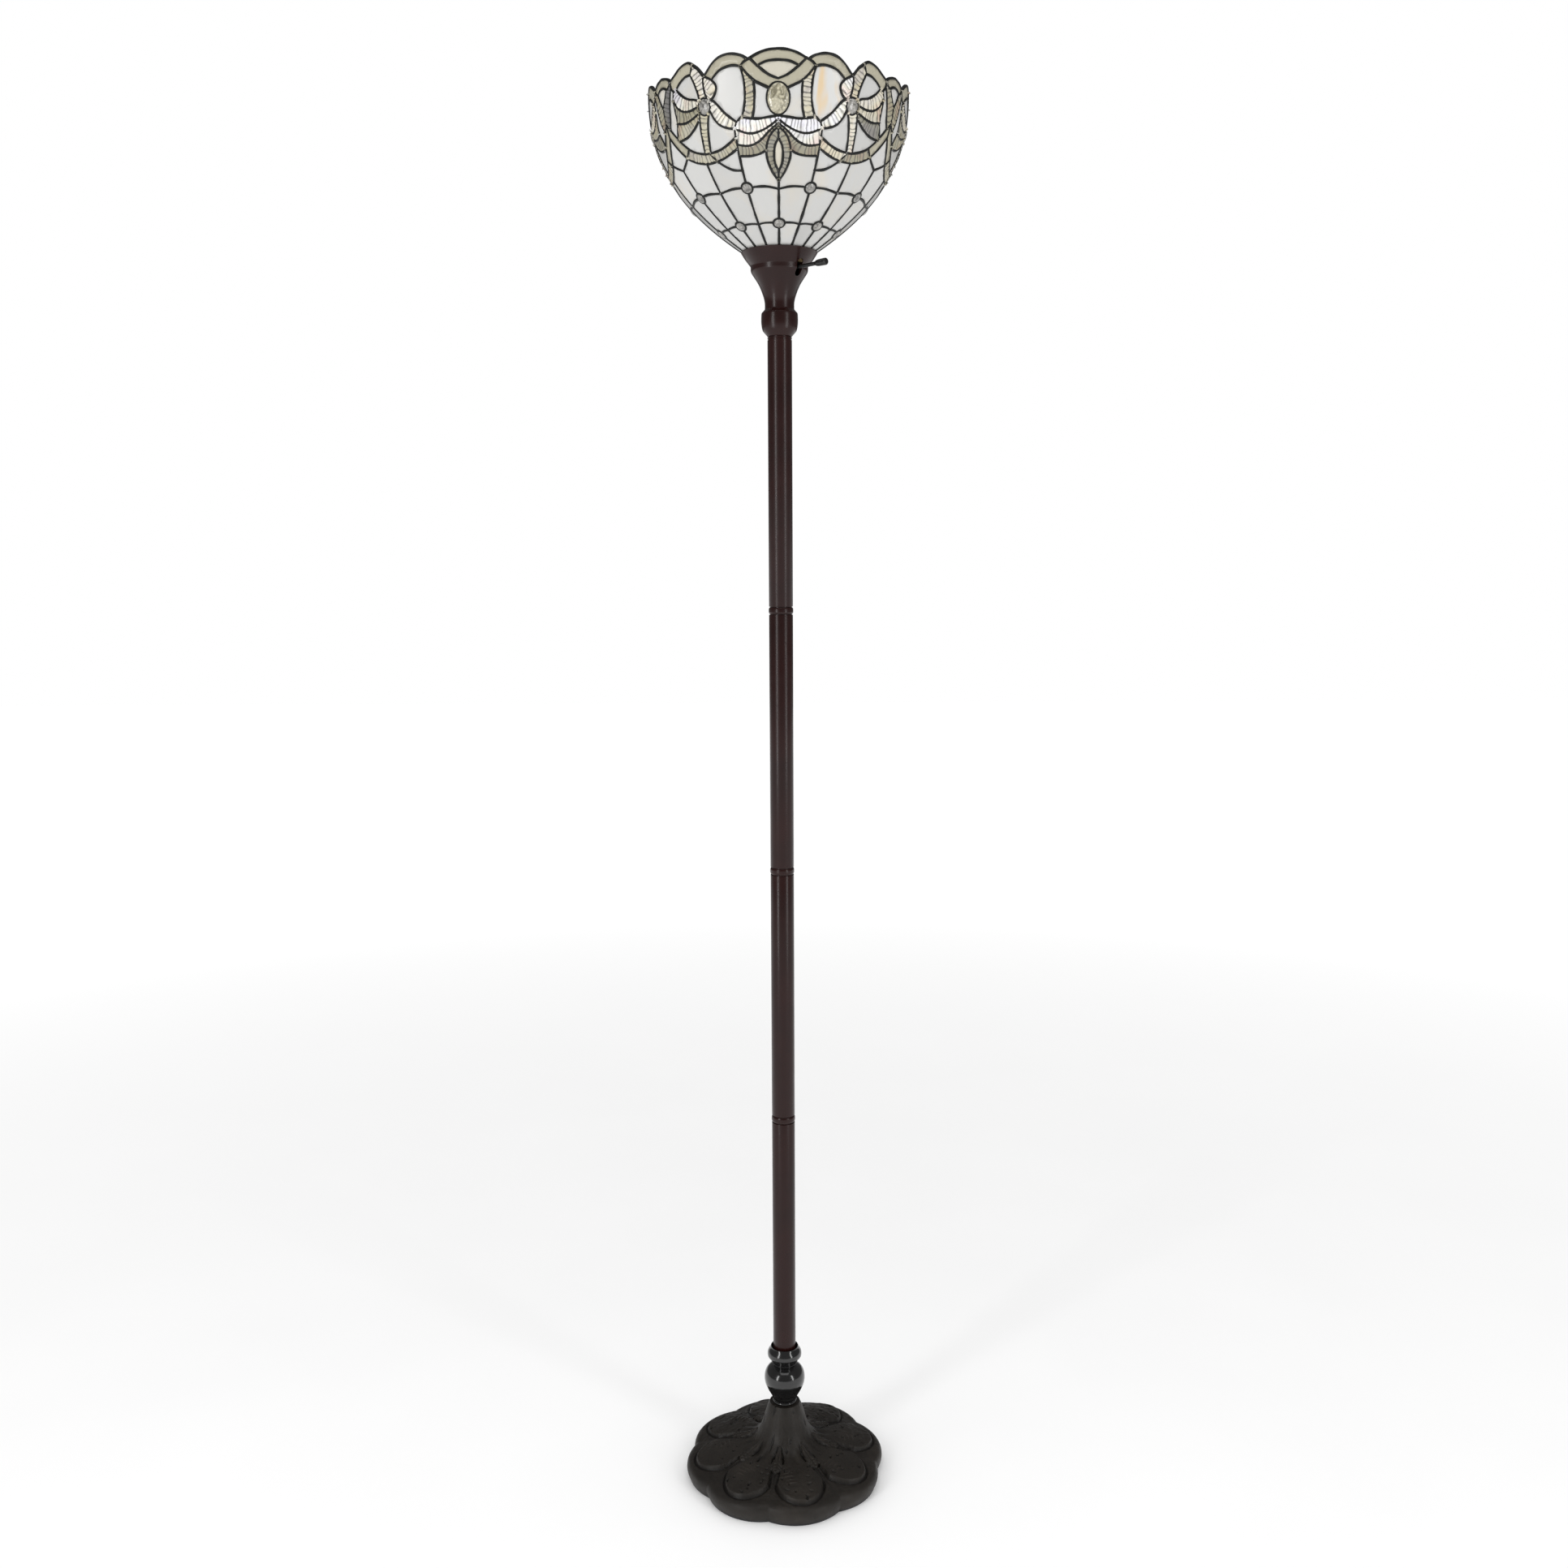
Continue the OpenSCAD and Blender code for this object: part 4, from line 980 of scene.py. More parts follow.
class TORCHIERE_OT_stage(bpy.types.Operator):
    """Add the floor, the studio light and the camera"""

    bl_idname = "torchiere.stage"
    bl_label = "Stage"

    def execute(self, context):
        scene = context.scene
        bm = bmesh.new()
        bmesh.ops.create_grid(bm, x_segments=1, y_segments=1, size=12)
        mesh = bpy.data.meshes.new("floor")
        bm.to_mesh(mesh)
        bm.free()
        floor = bpy.data.objects.new("floor", mesh)
        scene.collection.objects.link(floor)
        f = Finish("pale_floor").set(Specular_IOR_Level=0.15)
        grain = f.ramp(f.noise(3, 2), (0.3, (0.955, 0.955, 0.955)), (0.7, (0.97, 0.97, 0.97)))
        away = f.node("ShaderNodeVectorMath", {0: f.place}, operation="LENGTH").outputs["Value"]
        far = f.range(away, *FLOOR_FADE, 0.0, 1.0)
        f.colour(f.mix(far, grain, (0.0, 0.0, 0.0)))
        f.set(Roughness=0.7, Emission_Color=(1.0, 1.0, 1.0, 1.0))
        f.tree.links.new(far, f.shader.inputs["Emission Strength"])
        mesh.materials.append(f.material)

        world = bpy.data.worlds.new("studio")
        world.use_nodes = True
        tree = world.node_tree
        ray = tree.nodes.new("ShaderNodeLightPath")
        seen = tree.nodes.new("ShaderNodeMapRange")
        seen.inputs["To Min"].default_value = STUDIO_LIGHT
        mirrored = tree.nodes.new("ShaderNodeMath")
        mirrored.operation = "MULTIPLY_ADD"
        mirrored.inputs[1].default_value = -MIRROR_LOSS
        tree.links.new(ray.outputs["Is Camera Ray"], seen.inputs["Value"])
        tree.links.new(ray.outputs["Is Glossy Ray"], mirrored.inputs[0])
        tree.links.new(seen.outputs[0], mirrored.inputs[2])
        tree.links.new(mirrored.outputs[0], tree.nodes["Background"].inputs["Strength"])
        tree.nodes["Background"].inputs["Color"].default_value = (1, 1, 1, 1)
        scene.world = world
        self.softbox("left_softbox", (-1.9, -2.1, 1.35), (0.42, 2.2), 24)
        self.softbox("right_softbox", (2.1, -1.9, 1.35), (0.42, 2.2), 18)
        self.softbox("top_softbox", (0, -1.2, 4.0), (2.6, 2.0), 20)

        lens = bpy.data.cameras.new("camera")
        lens.sensor_width = SENSOR_MM
        lens.lens = LENS_MM
        lens.clip_end = 60
        camera = bpy.data.objects.new("camera", lens)
        camera.location = CAMERA_PLACE
        camera.rotation_euler = (math.radians(90 - CAMERA_DOWN), math.radians(CAMERA_LEAN), 0)
        scene.collection.objects.link(camera)
        scene.camera = camera
        scene.view_settings.view_transform = "Standard"
        return {"FINISHED"}

    @staticmethod
    def softbox(name, place, size, power):
        light = bpy.data.lights.new(name, "AREA")
        light.shape = "RECTANGLE"
        light.size, light.size_y = size
        light.energy = power
        lamp = bpy.data.objects.new(name, light)
        lamp.location = place
        aim = Vector((0, 0, 1.0)) - Vector(place)
        lamp.rotation_euler = aim.to_track_quat("-Z", "Y").to_euler()
        bpy.context.scene.collection.objects.link(lamp)


class TORCHIERE_OT_foot(bpy.types.Operator):
    """Add the cast foot with its petals and leaves"""

    bl_idname = "torchiere.foot"
    bl_label = "Cast Foot"

    lobes = 8
    notch = math.radians(-10)

    def execute(self, context):
        bm = turned(self.outline(), 480)
        relief_shade_and_wear = bm.verts.layers.float.new("relief_shade_and_wear")
        for vert in bm.verts:
            vert[relief_shade_and_wear] = self.shape(vert)
        bmesh.ops.recalc_face_normals(bm, faces=bm.faces)
        piece = finish_piece("cast_foot", bm, cast_bronze(), LAMP, ["base_casting"], 55)
        low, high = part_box("outlet_bush")
        centre = Vector(((low.x + high.x) / 2, (low.y + high.y) / 2, (low.z + high.z) / 2))
        out = Vector((centre.x, centre.y, 0)).normalized()
        turn = out.to_track_quat("Z", "Y").to_matrix().to_4x4()
        face = centre.xy.length + 1e-3 * 7.3
        for radius, start, end in ((6.3 * MM, face, face + 0.02), (4.95 * MM, 0.08, face + 0.01)):
            cutter = bmesh.new()
            bmesh.ops.create_cone(cutter, cap_ends=True, segments=48, radius1=radius, radius2=radius,
                                  depth=end - start,
                                  matrix=Matrix.Translation(out * (start + end) / 2 + Vector((0, 0,
                                                                                              centre.z)))
                                  @ turn)
            cut_away(piece, cutter)
        piece.data.shade_smooth()
        piece.data.set_sharp_from_angle(angle=math.radians(55))
        return {"FINISHED"}

    def outline(self):
        """Side view of the casting: cone, sloping top, bulging side, then the hollow beneath."""
        low = low_z("base_casting")
        cone_top = high_z("base_casting")
        cone = flowing([(20.2, cone_top), (22.6, cone_top - 5), (24.4, cone_top - 10),
                        (27, cone_top - 19),
                        (30.4, cone_top - 30), (35, cone_top - 40), (40, cone_top - 47), (48,
                                                                                          cone_top - 53),
                        (60, cone_top - 57)], 4)
        slope = [(60 + 66 * k / 84, 40 - 16 * (k / 84) ** 0.9) for k in range(1, 85)]
        side = flowing([(126, 24), (130.2, 22), (133, 18.2), (134, 13.0), (132.8, 7.5),
                        (130.4, low + 0.4)], 3)
        under = [(129.6, low), (118, low), (118, 19), (104, 19), (53, 33), (14, 62), (9, 72), (5.1, 72),
                 (5.1, cone_top)]
        return cone + slope + side[1:] + under

    def shape(self, vert):
        """Moves a point of the turned blank to the cast surface; returns its shade and wear value, -1 to 1:
        below zero painted shade, at the top worn paint.
        """
        x, y, z = vert.co / MM
        r, turn = math.hypot(x, y), math.atan2(y, x)
        step = math.tau / self.lobes
        local = (turn - self.notch) % step - step / 2
        lobe_at, lobe_r = 59.0, 75.0
        rim = lobe_at * math.cos(local) + math.sqrt(lobe_r ** 2 - (lobe_at * math.sin(local)) ** 2)
        outer = r > 20 and not (r < 119 and z < 34 and self.is_under(r, z))
        if not outer and r < 117:
            return 0.0
        spread = min(max((r - 62) / 56, 0.0), 1.0) ** 1.4
        r_new = r * (1 + (rim / 134.0 - 1) * spread) if r > 117 or outer else r
        rise, shade_and_wear = 0.0, 0.0
        if outer and z > 21 and r < 127.5:
            rise, shade_and_wear = self.relief_shade_and_wear(r, local, turn)
        vert.co = Vector((r_new * math.cos(turn), r_new * math.sin(turn), z + rise)) * MM
        return shade_and_wear

    @staticmethod
    def is_under(r, z):
        """True for a point of the hollow underside."""
        return z < 19.5 or z < 33.2 - 14 * (r - 53) / 51 + 0.2 and r >= 53

    def relief_shade_and_wear(self, r, local, turn):
        """Height in mm of the petal, leaf and rib work at a place, and its shade and wear value: negative
        for painted shade in grooves, pits and channels, positive where the paint wears on high work.
        """
        tall = sizes().petal_height
        step = math.tau / self.lobes
        x, y = r * math.cos(local), r * math.sin(local)
        # petal: a tongue that widens outwards to a round end standing on a steep step
        centre, round_r, root = 90.5, 31.0, 44.0
        if x < centre:
            edge = abs(y) - (8 + (round_r - 8) * max(0.0, (x - root) / (centre - root)) ** 0.9)
        else:
            edge = math.hypot(x - centre, y) - round_r
        outward = min(max((x - 58) / 36, 0.0), 1.0)
        fade = min(max((r - 46) / 16, 0.0), 1.0)
        petal = min(max(0.5 - edge / 1.4, 0.0), 1.0)
        petal = petal * petal * (3 - 2 * petal)
        groove = math.exp(-((edge - 1.9) / 1.5) ** 2)
        dome = max(0.0, 1 - (math.hypot(x - centre, y) / round_r) ** 2)
        rise = fade * (tall * (0.3 + 0.7 * outward) * petal - (0.6 + 1.4 * outward) * groove
                       + 0.5 * dome * petal)
        # Painted shade in the groove round the petal, deepest at its outer end
        shade_and_wear = fade * (0.25 * petal - 1.3 * groove * (0.4 + 0.6 * outward))
        # short cross ribs and casting pits on the petal
        bar = abs(x - 80 - 6 * round((x - 80) / 6))
        ribs = math.exp(-(bar / 0.8) ** 2) * math.exp(-(((y + 12) / 7) ** 4)) * (71 < x < 95)
        rise += 0.8 * ribs * petal
        shade_and_wear += 0.8 * ribs * petal
        pit = noise.noise(Vector((x * 0.16, y * 0.16,
                                  3 + math.floor((turn - self.notch) / step)))) - 0.42
        rise -= 2.2 * min(max(pit * 6, 0.0), 1.0) * petal
        # Painted shade in the casting pits
        shade_and_wear -= 1.2 * min(max(pit * 6, 0.0), 1.0) * petal
        # leaf: a serrated blade down the notch between two petals
        away = step / 2 - abs(local)
        along_leaf, across = r * math.cos(away), r * math.sin(away)
        t = (along_leaf - 38) / 36
        if 0 < t < 1:
            tooth = (t * 5.0) % 1.0
            half = (1.0 + 7.4 * min(t / 0.62, 1.0) ** 0.9) * (1.08 - 0.34 * tooth)
            half *= 1 - max(0.0, (t - 0.78) / 0.22) ** 2
            edge = across - half
            blade = min(max(0.5 - edge / 1.1, 0.0), 1.0)
            vein = math.exp(-(across / 0.8) ** 2)
            side_vein = 0.5 + 0.5 * math.cos(math.tau * (t * 8 - across * 0.16))
            lip = math.exp(-((edge - 1.2) / 0.9) ** 2)
            rise += (1 - petal) * (3.0 * blade - 1.1 * vein * blade - 0.6 * side_vein * blade - 1.5 * lip)
            # Painted shade along the lip round the leaf's blade
            shade_and_wear += (1 - petal) * (0.7 * blade * (1 - vein) * (1 - 0.5 * side_vein) - 1.0 * lip)
        elif t >= 1:
            channel = math.exp(-(across / 1.6) ** 2) * max(0.0, 1 - (t - 1) / 1.1)
            rise -= 1.2 * channel
            # Painted shade in the channel beyond the leaf's tip
            shade_and_wear -= 0.8 * channel
        # ribs at the foot of the cone
        window = math.exp(-((r - 50) / 10) ** 2)
        rib = math.cos(24 * (turn - self.notch))
        rise += window * 0.7 * rib
        shade_and_wear += window * 0.3 * rib
        grain = noise.noise(Vector((x, y, turn * 20)) * 0.22)
        return rise + 0.35 * grain, max(-1.0, min(1.0, shade_and_wear + 0.25 * grain))


class TORCHIERE_OT_neck(bpy.types.Operator):
    """Add the neck ball, the thin ring under it and the ring above it"""

    bl_idname = "torchiere.neck"
    bl_label = "Neck Ball and Rings"

    def execute(self, context):
        finish = gloss_black()
        low, high = low_z("ball_ring"), high_z("ball_ring")
        bead = arc((14.0, (low + high) / 2), (high - low) / 2, -90, 90, 8)
        finish_piece("ball_foot_ring", turned([(5.1, low)] + bead + [(5.1, high)]), finish, LAMP,
                     ["ball_ring"])
        low, high = low_z("neck_ball"), high_z("neck_ball")
        tall = high - low
        ball = flowing([(15.2, low), (16.6, low + tall * 0.06), (18.6, low + tall * 0.16),
                        (22.6, low + tall * 0.30),
                        (26.0, low + tall * 0.46), (27.2, low + tall * 0.62), (26.0, low + tall * 0.78),
                        (22.4, low + tall * 0.90), (17.4, low + tall * 0.97), (14.6, high)], 5)
        finish_piece("neck_ball_shell", turned([(5.1, low)] + ball + [(5.1, high)]), finish, LAMP,
                     ["neck_ball"])
        low, high = low_z("neck_ring"), high_z("neck_ring")
        seat = low_z("pole_tube_1")
        tall = high - low
        ring = flowing([(15.4, low), (16.4, low + tall * 0.06), (17.2, low + tall * 0.16),
                        (19.4, low + tall * 0.30),
                        (22.4, low + tall * 0.46)], 4)
        ring += flowing([(22.8, low + tall * 0.52), (22.7, low + tall * 0.66), (21.6, low + tall * 0.78),
                         (19.0, low + tall * 0.93), (18.3, high)], 4)
        cup = [(17.4, high), (16.6, high - 1.4), (15.5, high - 4.6), (15.2, high - 6.0), (15.2, seat),
               (5.1, seat)]
        finish_piece("neck_collar", turned([(5.1, low)] + ring + cup), finish, LAMP,
                     ["neck_ring"])
        return {"FINISHED"}


class TORCHIERE_OT_pole(bpy.types.Operator):
    """Add the four pole tubes and the bands at their joints"""

    bl_idname = "torchiere.pole"
    bl_label = "Pole"

    def execute(self, context):
        finish = bronze_paint("bronze_pole")
        inner = POLE_R - 1.2
        for k in range(1, 5):
            node = f"pole_tube_{k}"
            low, high = low_z(node), high_z(node)
            edge = [(inner, low), (POLE_R - 0.5, low), (POLE_R - 0.1, low + 0.15), (POLE_R, low + 0.5)]
            if k == 4:
                edge += [(POLE_R, high - 3.4), (POLE_R - 0.6, high - 3.1), (POLE_R - 0.6, high - 1.9),
                         (POLE_R, high - 1.6)]
            edge += [(POLE_R, high - 0.5), (POLE_R - 0.1, high - 0.15), (POLE_R - 0.5, high),
                     (inner, high)]
            finish_piece(f"tube_{k}", turned(edge), finish, LAMP, [node])
        for k in range(1, 4):
            node = f"joint_band_{k}"
            low, high = low_z(node), high_z(node)
            bulge = flowing([(POLE_R - 0.3, low + 1.2), (POLE_R + 0.35, low + 3),
                             (POLE_R + 0.4, (low + high) / 2),
                             (POLE_R + 0.35, high - 3), (POLE_R - 0.3, high - 1.2)], 3)
            band = [(8, low), (POLE_R - 1.3, low), (POLE_R - 1.3, low + 0.8), (POLE_R - 0.6, low + 0.9)]
            band += bulge + [(POLE_R - 0.6, high - 0.9), (POLE_R - 1.3, high - 0.8),
                             (POLE_R - 1.3, high), (8, high)]
            finish_piece(f"band_{k}", turned(band), finish, LAMP, [node])
        return {"FINISHED"}


class TORCHIERE_OT_cup(bpy.types.Operator):
    """Add the fitter cup with its key slot, and the knob-shaped collar under it"""

    bl_idname = "torchiere.cup"
    bl_label = "Cup"

    def execute(self, context):
        finish = bronze_paint("bronze_cup")
        low, high = low_z("cup_knob"), high_z("cup_knob")
        knob = [(5.1, low), (14.0, low), (14.0, low + 0.7), (15.2, low + 1.2), (15.8, low + 2.4),
                (20.0, low + 7.0)]
        knob += flowing([(20.7, low + 8.0), (21.6, low + 11), (22.3, low + 15.6), (22.5, low + 20),
                         (22.4, low + 25),
                         (22.1, low + 28.4), (21.2, low + 29.6)], 4)
        knob += flowing([(18.9, low + 32.2), (18.2, low + 33.2), (18.0, high)], 3)
        finish_piece("cup_collar", turned(knob + [(5.1, high)]), finish, LAMP,
                     ["cup_knob"])

        low, high = low_z("fitter_cup"), high_z("fitter_cup")
        wall = flowing([(18.0, low), (18.0, low + 6.2), (19.0, low + 12), (20.6, low + 17.2),
                        (22.6, low + 22.6),
                        (25.1, low + 28), (28.3, low + 33.4), (31.8, low + 38.6), (34.2, low + 42.4),
                        (34.9, low + 44.6)], 4)
        lip = flowing([(35.0, low + 48.6), (35.5, low + 50), (37.4, low + 52.6), (41.6, low + 58),
                       (44.9, low + 63),
                       (46.3, high - 0.8)], 4)
        rim = [(46.4, high - 0.3), (46.1, high), (45.2, high), (44.8, high - 0.3)]
        inside = [(34.0, low + 51.4), (33.3, low + 50.5), (30, low + 50.5), (30, low + 48),
                  (29.2, low + 37.3)]
        inside += [(22, low + 25), (17.4, low + 12), (16.2, low + 3), (5.1, low + 3)]
        piece = finish_piece("bowl_cup", turned([(5.1, low)] + wall + lip + rim + inside), finish, LAMP,
                             ["fitter_cup"])
        slot = bmesh.new()
        bmesh.ops.create_cone(slot, cap_ends=True, segments=32, radius1=4.5 * MM, radius2=4.5 * MM,
                              depth=0.06)
        right = [v for v in slot.verts if v.co.y > 1e-7]
        left = [v for v in slot.verts if v.co.y < -1e-7]
        bmesh.ops.translate(slot, vec=(0, 5 * MM, 0), verts=right)
        bmesh.ops.translate(slot, vec=(0, -5 * MM, 0), verts=left)
        bmesh.ops.rotate(slot, cent=(0, 0, 0), matrix=Matrix.Rotation(math.pi / 2, 3, "Z"),
                         verts=slot.verts)
        bmesh.ops.rotate(slot, cent=(0, 0, 0), matrix=Matrix.Rotation(math.pi / 2, 3, "Y"),
                         verts=slot.verts)
        bmesh.ops.translate(slot, vec=(0.05, 0, (KEY_Z - 0.5) * MM), verts=slot.verts)
        bmesh.ops.rotate(slot, cent=(0, 0, 0), matrix=Matrix.Rotation(KEY_TURN, 3, "Z"),
                         verts=slot.verts)
        cut_away(piece, slot)
        piece.data.shade_smooth()
        piece.data.set_sharp_from_angle(angle=math.radians(40))
        return {"FINISHED"}


class TORCHIERE_OT_key(bpy.types.Operator):
    """Add the turn key"""

    bl_idname = "torchiere.key"
    bl_label = "Turn Key"

    def execute(self, context):
        tip = math.hypot(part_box("key_knob")[1].x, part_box("key_knob")[0].y) / MM - 3.0
        shaft = flowing([(2.2, 1.0), (2.2, 40), (2.3, tip - 22), (2.5, tip - 18), (3.5, tip - 15.5),
                         (4.0, tip - 12)], 3)
        knob = flowing([(4.1, tip - 8), (4.15, tip - 2), (3.6, tip - 0.4), (2.4, tip - 0.05)], 3)
        bm = turned([(0, 1.0)] + shaft + knob + [(0, tip)], 48)
        cam = bmesh.new()
        bmesh.ops.create_cone(cam, cap_ends=True, segments=8, radius1=4.5 * MM, radius2=4.5 * MM,
                              depth=4.6 * MM,
                              matrix=Matrix.Translation((0, 0, 2.9 * MM)))
        join(bm, cam)
        bmesh.ops.rotate(bm, cent=(0, 0, 0), matrix=Matrix.Rotation(math.pi / 2, 3, "Y"), verts=bm.verts)
        bmesh.ops.rotate(bm, cent=(0, 0, 0), matrix=Matrix.Rotation(KEY_TURN, 3, "Z"), verts=bm.verts)
        bmesh.ops.translate(bm, vec=(0, 0, KEY_Z * MM), verts=bm.verts)
        finish_piece("turn_key", bm, moulded("key_black", (0.008, 0.008, 0.008), 0.28), KEY,
                     ["key_knob", "key_shaft"])
        return {"FINISHED"}


class TORCHIERE_OT_glass(bpy.types.Operator):
    """Add the cut glass of the bowl: opal, beige, cream and amber panes, and the drapery glass"""

    bl_idname = "torchiere.glass"
    bl_label = "Glass"

    def execute(self, context):
        c = colours()
        cream = (0.62, 0.54, 0.40)
        jobs = [
            ("opal_panes", ["opal"], opal_glass("opal_glass", c.opal, cream, 0.5), "opal_glass",
             ["glass_tier_1", "glass_tier_2"]),
            ("beige_bands", ["beige"], opal_glass("beige_glass", c.beige, shade_of(c.beige, 0.66), 0.7),
             "beige_glass", ["glass_tier_3"]),
            ("cream_panes", ["cream"], opal_glass("cream_glass", (0.56, 0.53, 0.45), (0.45, 0.42, 0.33),
                                                  0.6),
             "beige_glass", []),
            ("amber_panes", ["amber"], opal_glass("streaked_glass", c.opal, cream, 0.4, 0.5),
             "opal_glass", []),
        ]
        for name, kinds, finish, slot, stands_for in jobs:
            bm = cut_panes(kinds, PANE_GAP)
            self.tint(bm)
            self.thicken(finish_piece(name, bm, finish, LAMP, stands_for))
        bm = cut_panes(["drapery"], PANE_GAP)
        self.tint(bm)
        self.drape(bm)
        self.thicken(finish_piece("drapery_panes", bm, drapery_glass(), LAMP,
                                  ["glass_tier_4"]))
        return {"FINISHED"}

    @staticmethod
    def tint(bm):
        """Gives every pane its own tone."""
        draw = random.Random(sizes().seed)
        tone, dusk = bm.verts.layers.float.new("tint"), bm.verts.layers.float.new("dusk")
        low, high = bm.faces.layers.float["dusk_low"], bm.faces.layers.float["dusk_high"]
        for island in islands(bm):
            value, share = draw.random(), draw.random()
            depth = island[0][low] + (island[0][high] - island[0][low]) * share
            for vert in {v for face in island for v in face.verts}:
                vert[tone], vert[dusk] = value, depth

    @staticmethod
    def drape(bm):
        """Divides the drapery glass finely and raises its folds."""
        bmesh.ops.subdivide_edges(bm, edges=bm.edges, cuts=2, use_grid_fill=True)
        bmesh.ops.triangulate(bm, faces=[f for f in bm.faces if len(f.verts) > 4])
        bm.normal_update()
        run = bm.loops.layers.float["fold"]
        phase = bm.verts.layers.float.new("fold_phase")
        pitch, tall = sizes().fold_pitch, sizes().fold_height
        moves = []
        for vert in bm.verts:
            s = sum(loop[run] for loop in vert.link_loops) / max(1, len(vert.link_loops))
            sway = noise.noise(vert.co * 60) * 0.3 + 0.25 * math.sin(s * 0.31)
            vert[phase] = s / pitch + sway + 20
            crest = abs(math.sin(math.pi * vert[phase]))
            border = any(len(e.link_faces) == 1 for e in vert.link_edges)
            moves.append((vert, vert.normal * (0.0 if border else tall * MM * crest ** 0.8)))
        for vert, move in moves:
            vert.co += move

    @staticmethod
    def thicken(piece):
        wall = piece.modifiers.new("thickness", "SOLIDIFY")
        wall.thickness = sizes().glass_thickness * MM
        wall.offset = -1
        wall.use_even_offset = False


class TORCHIERE_OT_lead(bpy.types.Operator):
    """Add the lead between the panes and along the rim"""

    bl_idname = "torchiere.lead"
    bl_label = "Lead"

    def execute(self, context):
        sheet = pattern_sheet()
        sheet.normal_update()
        wide = sizes().lead_width / 2 * MM
        deep = (sizes().glass_thickness / 2 + 1.0) * MM
        bm, batch = bmesh.new(), bmesh.new()
        for chain in lead_chains(sheet):
            join(batch, self.bar(self.places(chain), wide, deep))
            if len(batch.verts) > LEAD_BATCH:
                join(bm, batch)
                batch = bmesh.new()
        for vert in lead_joints(sheet):
            centre = vert.co - vert.normal * sizes().glass_thickness / 2 * MM
            turn = vert.normal.to_track_quat("Z", "Y").to_matrix().to_4x4()
            swell = Matrix.Diagonal((wide * 1.16, wide * 1.16, deep * 1.04, 1))
            bmesh.ops.create_icosphere(batch, subdivisions=2, radius=1.0,
                                       matrix=Matrix.Translation(centre) @ turn @ swell)
            if len(batch.verts) > LEAD_BATCH:
                join(bm, batch)
                batch = bmesh.new()
        join(bm, batch)
        sheet.free()
        bmesh.ops.recalc_face_normals(bm, faces=bm.faces)
        finish_piece("lead_lines", bm, lead_patina(), LAMP, ["came_rings", "came_ribs"], 60)
        return {"FINISHED"}

    @staticmethod
    def places(chain):
        """Middle of the lead, its direction and the glass's facing at each step of a run."""
        half = sizes().glass_thickness / 2 * MM
        kept = [chain[0]]
        for vert in chain[1:-1]:
            if (vert.co - kept[-1].co).length > 0.9 * MM:
                kept.append(vert)
        if len(kept) > 1 and (chain[-1].co - kept[-1].co).length < 0.9 * MM:
            kept.pop()
        kept.append(chain[-1])
        middles = [v.co - v.normal * half for v in kept]
        ways = []
        for k in range(len(kept)):
            way = middles[min(k + 1, len(kept) - 1)] - middles[max(k - 1, 0)]
            ways.append(way.normalized())
        return list(zip(middles, ways, [v.normal for v in kept]))

    @staticmethod
    def bar(places, wide, deep):
        """A rounded bar of lead drawn along a run."""
        frames = []
        for middle, way, facing in places:
            side = way.cross(facing).normalized()
            out = side.cross(way)
            beat = 1 + 0.34 * noise.noise(middle * 90)
            axes = Matrix((side * wide * beat, out * deep, way)).transposed().to_4x4()
            frames.append(Matrix.Translation(middle) @ axes)
        bar = bmesh.new()
        made = bmesh.ops.create_circle(bar, cap_ends=False, radius=1.0, segments=10, matrix=frames[0])
        ring = {e for v in made["verts"] for e in v.link_edges}
        for old, new in zip(frames, frames[1:]):
            grown = bmesh.ops.extrude_edge_only(bar, edges=list(ring))["geom"]
            verts = [g for g in grown if isinstance(g, bmesh.types.BMVert)]
            bmesh.ops.transform(bar, matrix=new @ old.inverted(), verts=verts)
            ring = {g for g in grown if isinstance(g,
                                                   bmesh.types.BMEdge) and all(v in verts for v in g.verts)}
        bmesh.ops.holes_fill(bar, edges=[e for e in bar.edges if e.is_boundary], sides=10)
        return bar


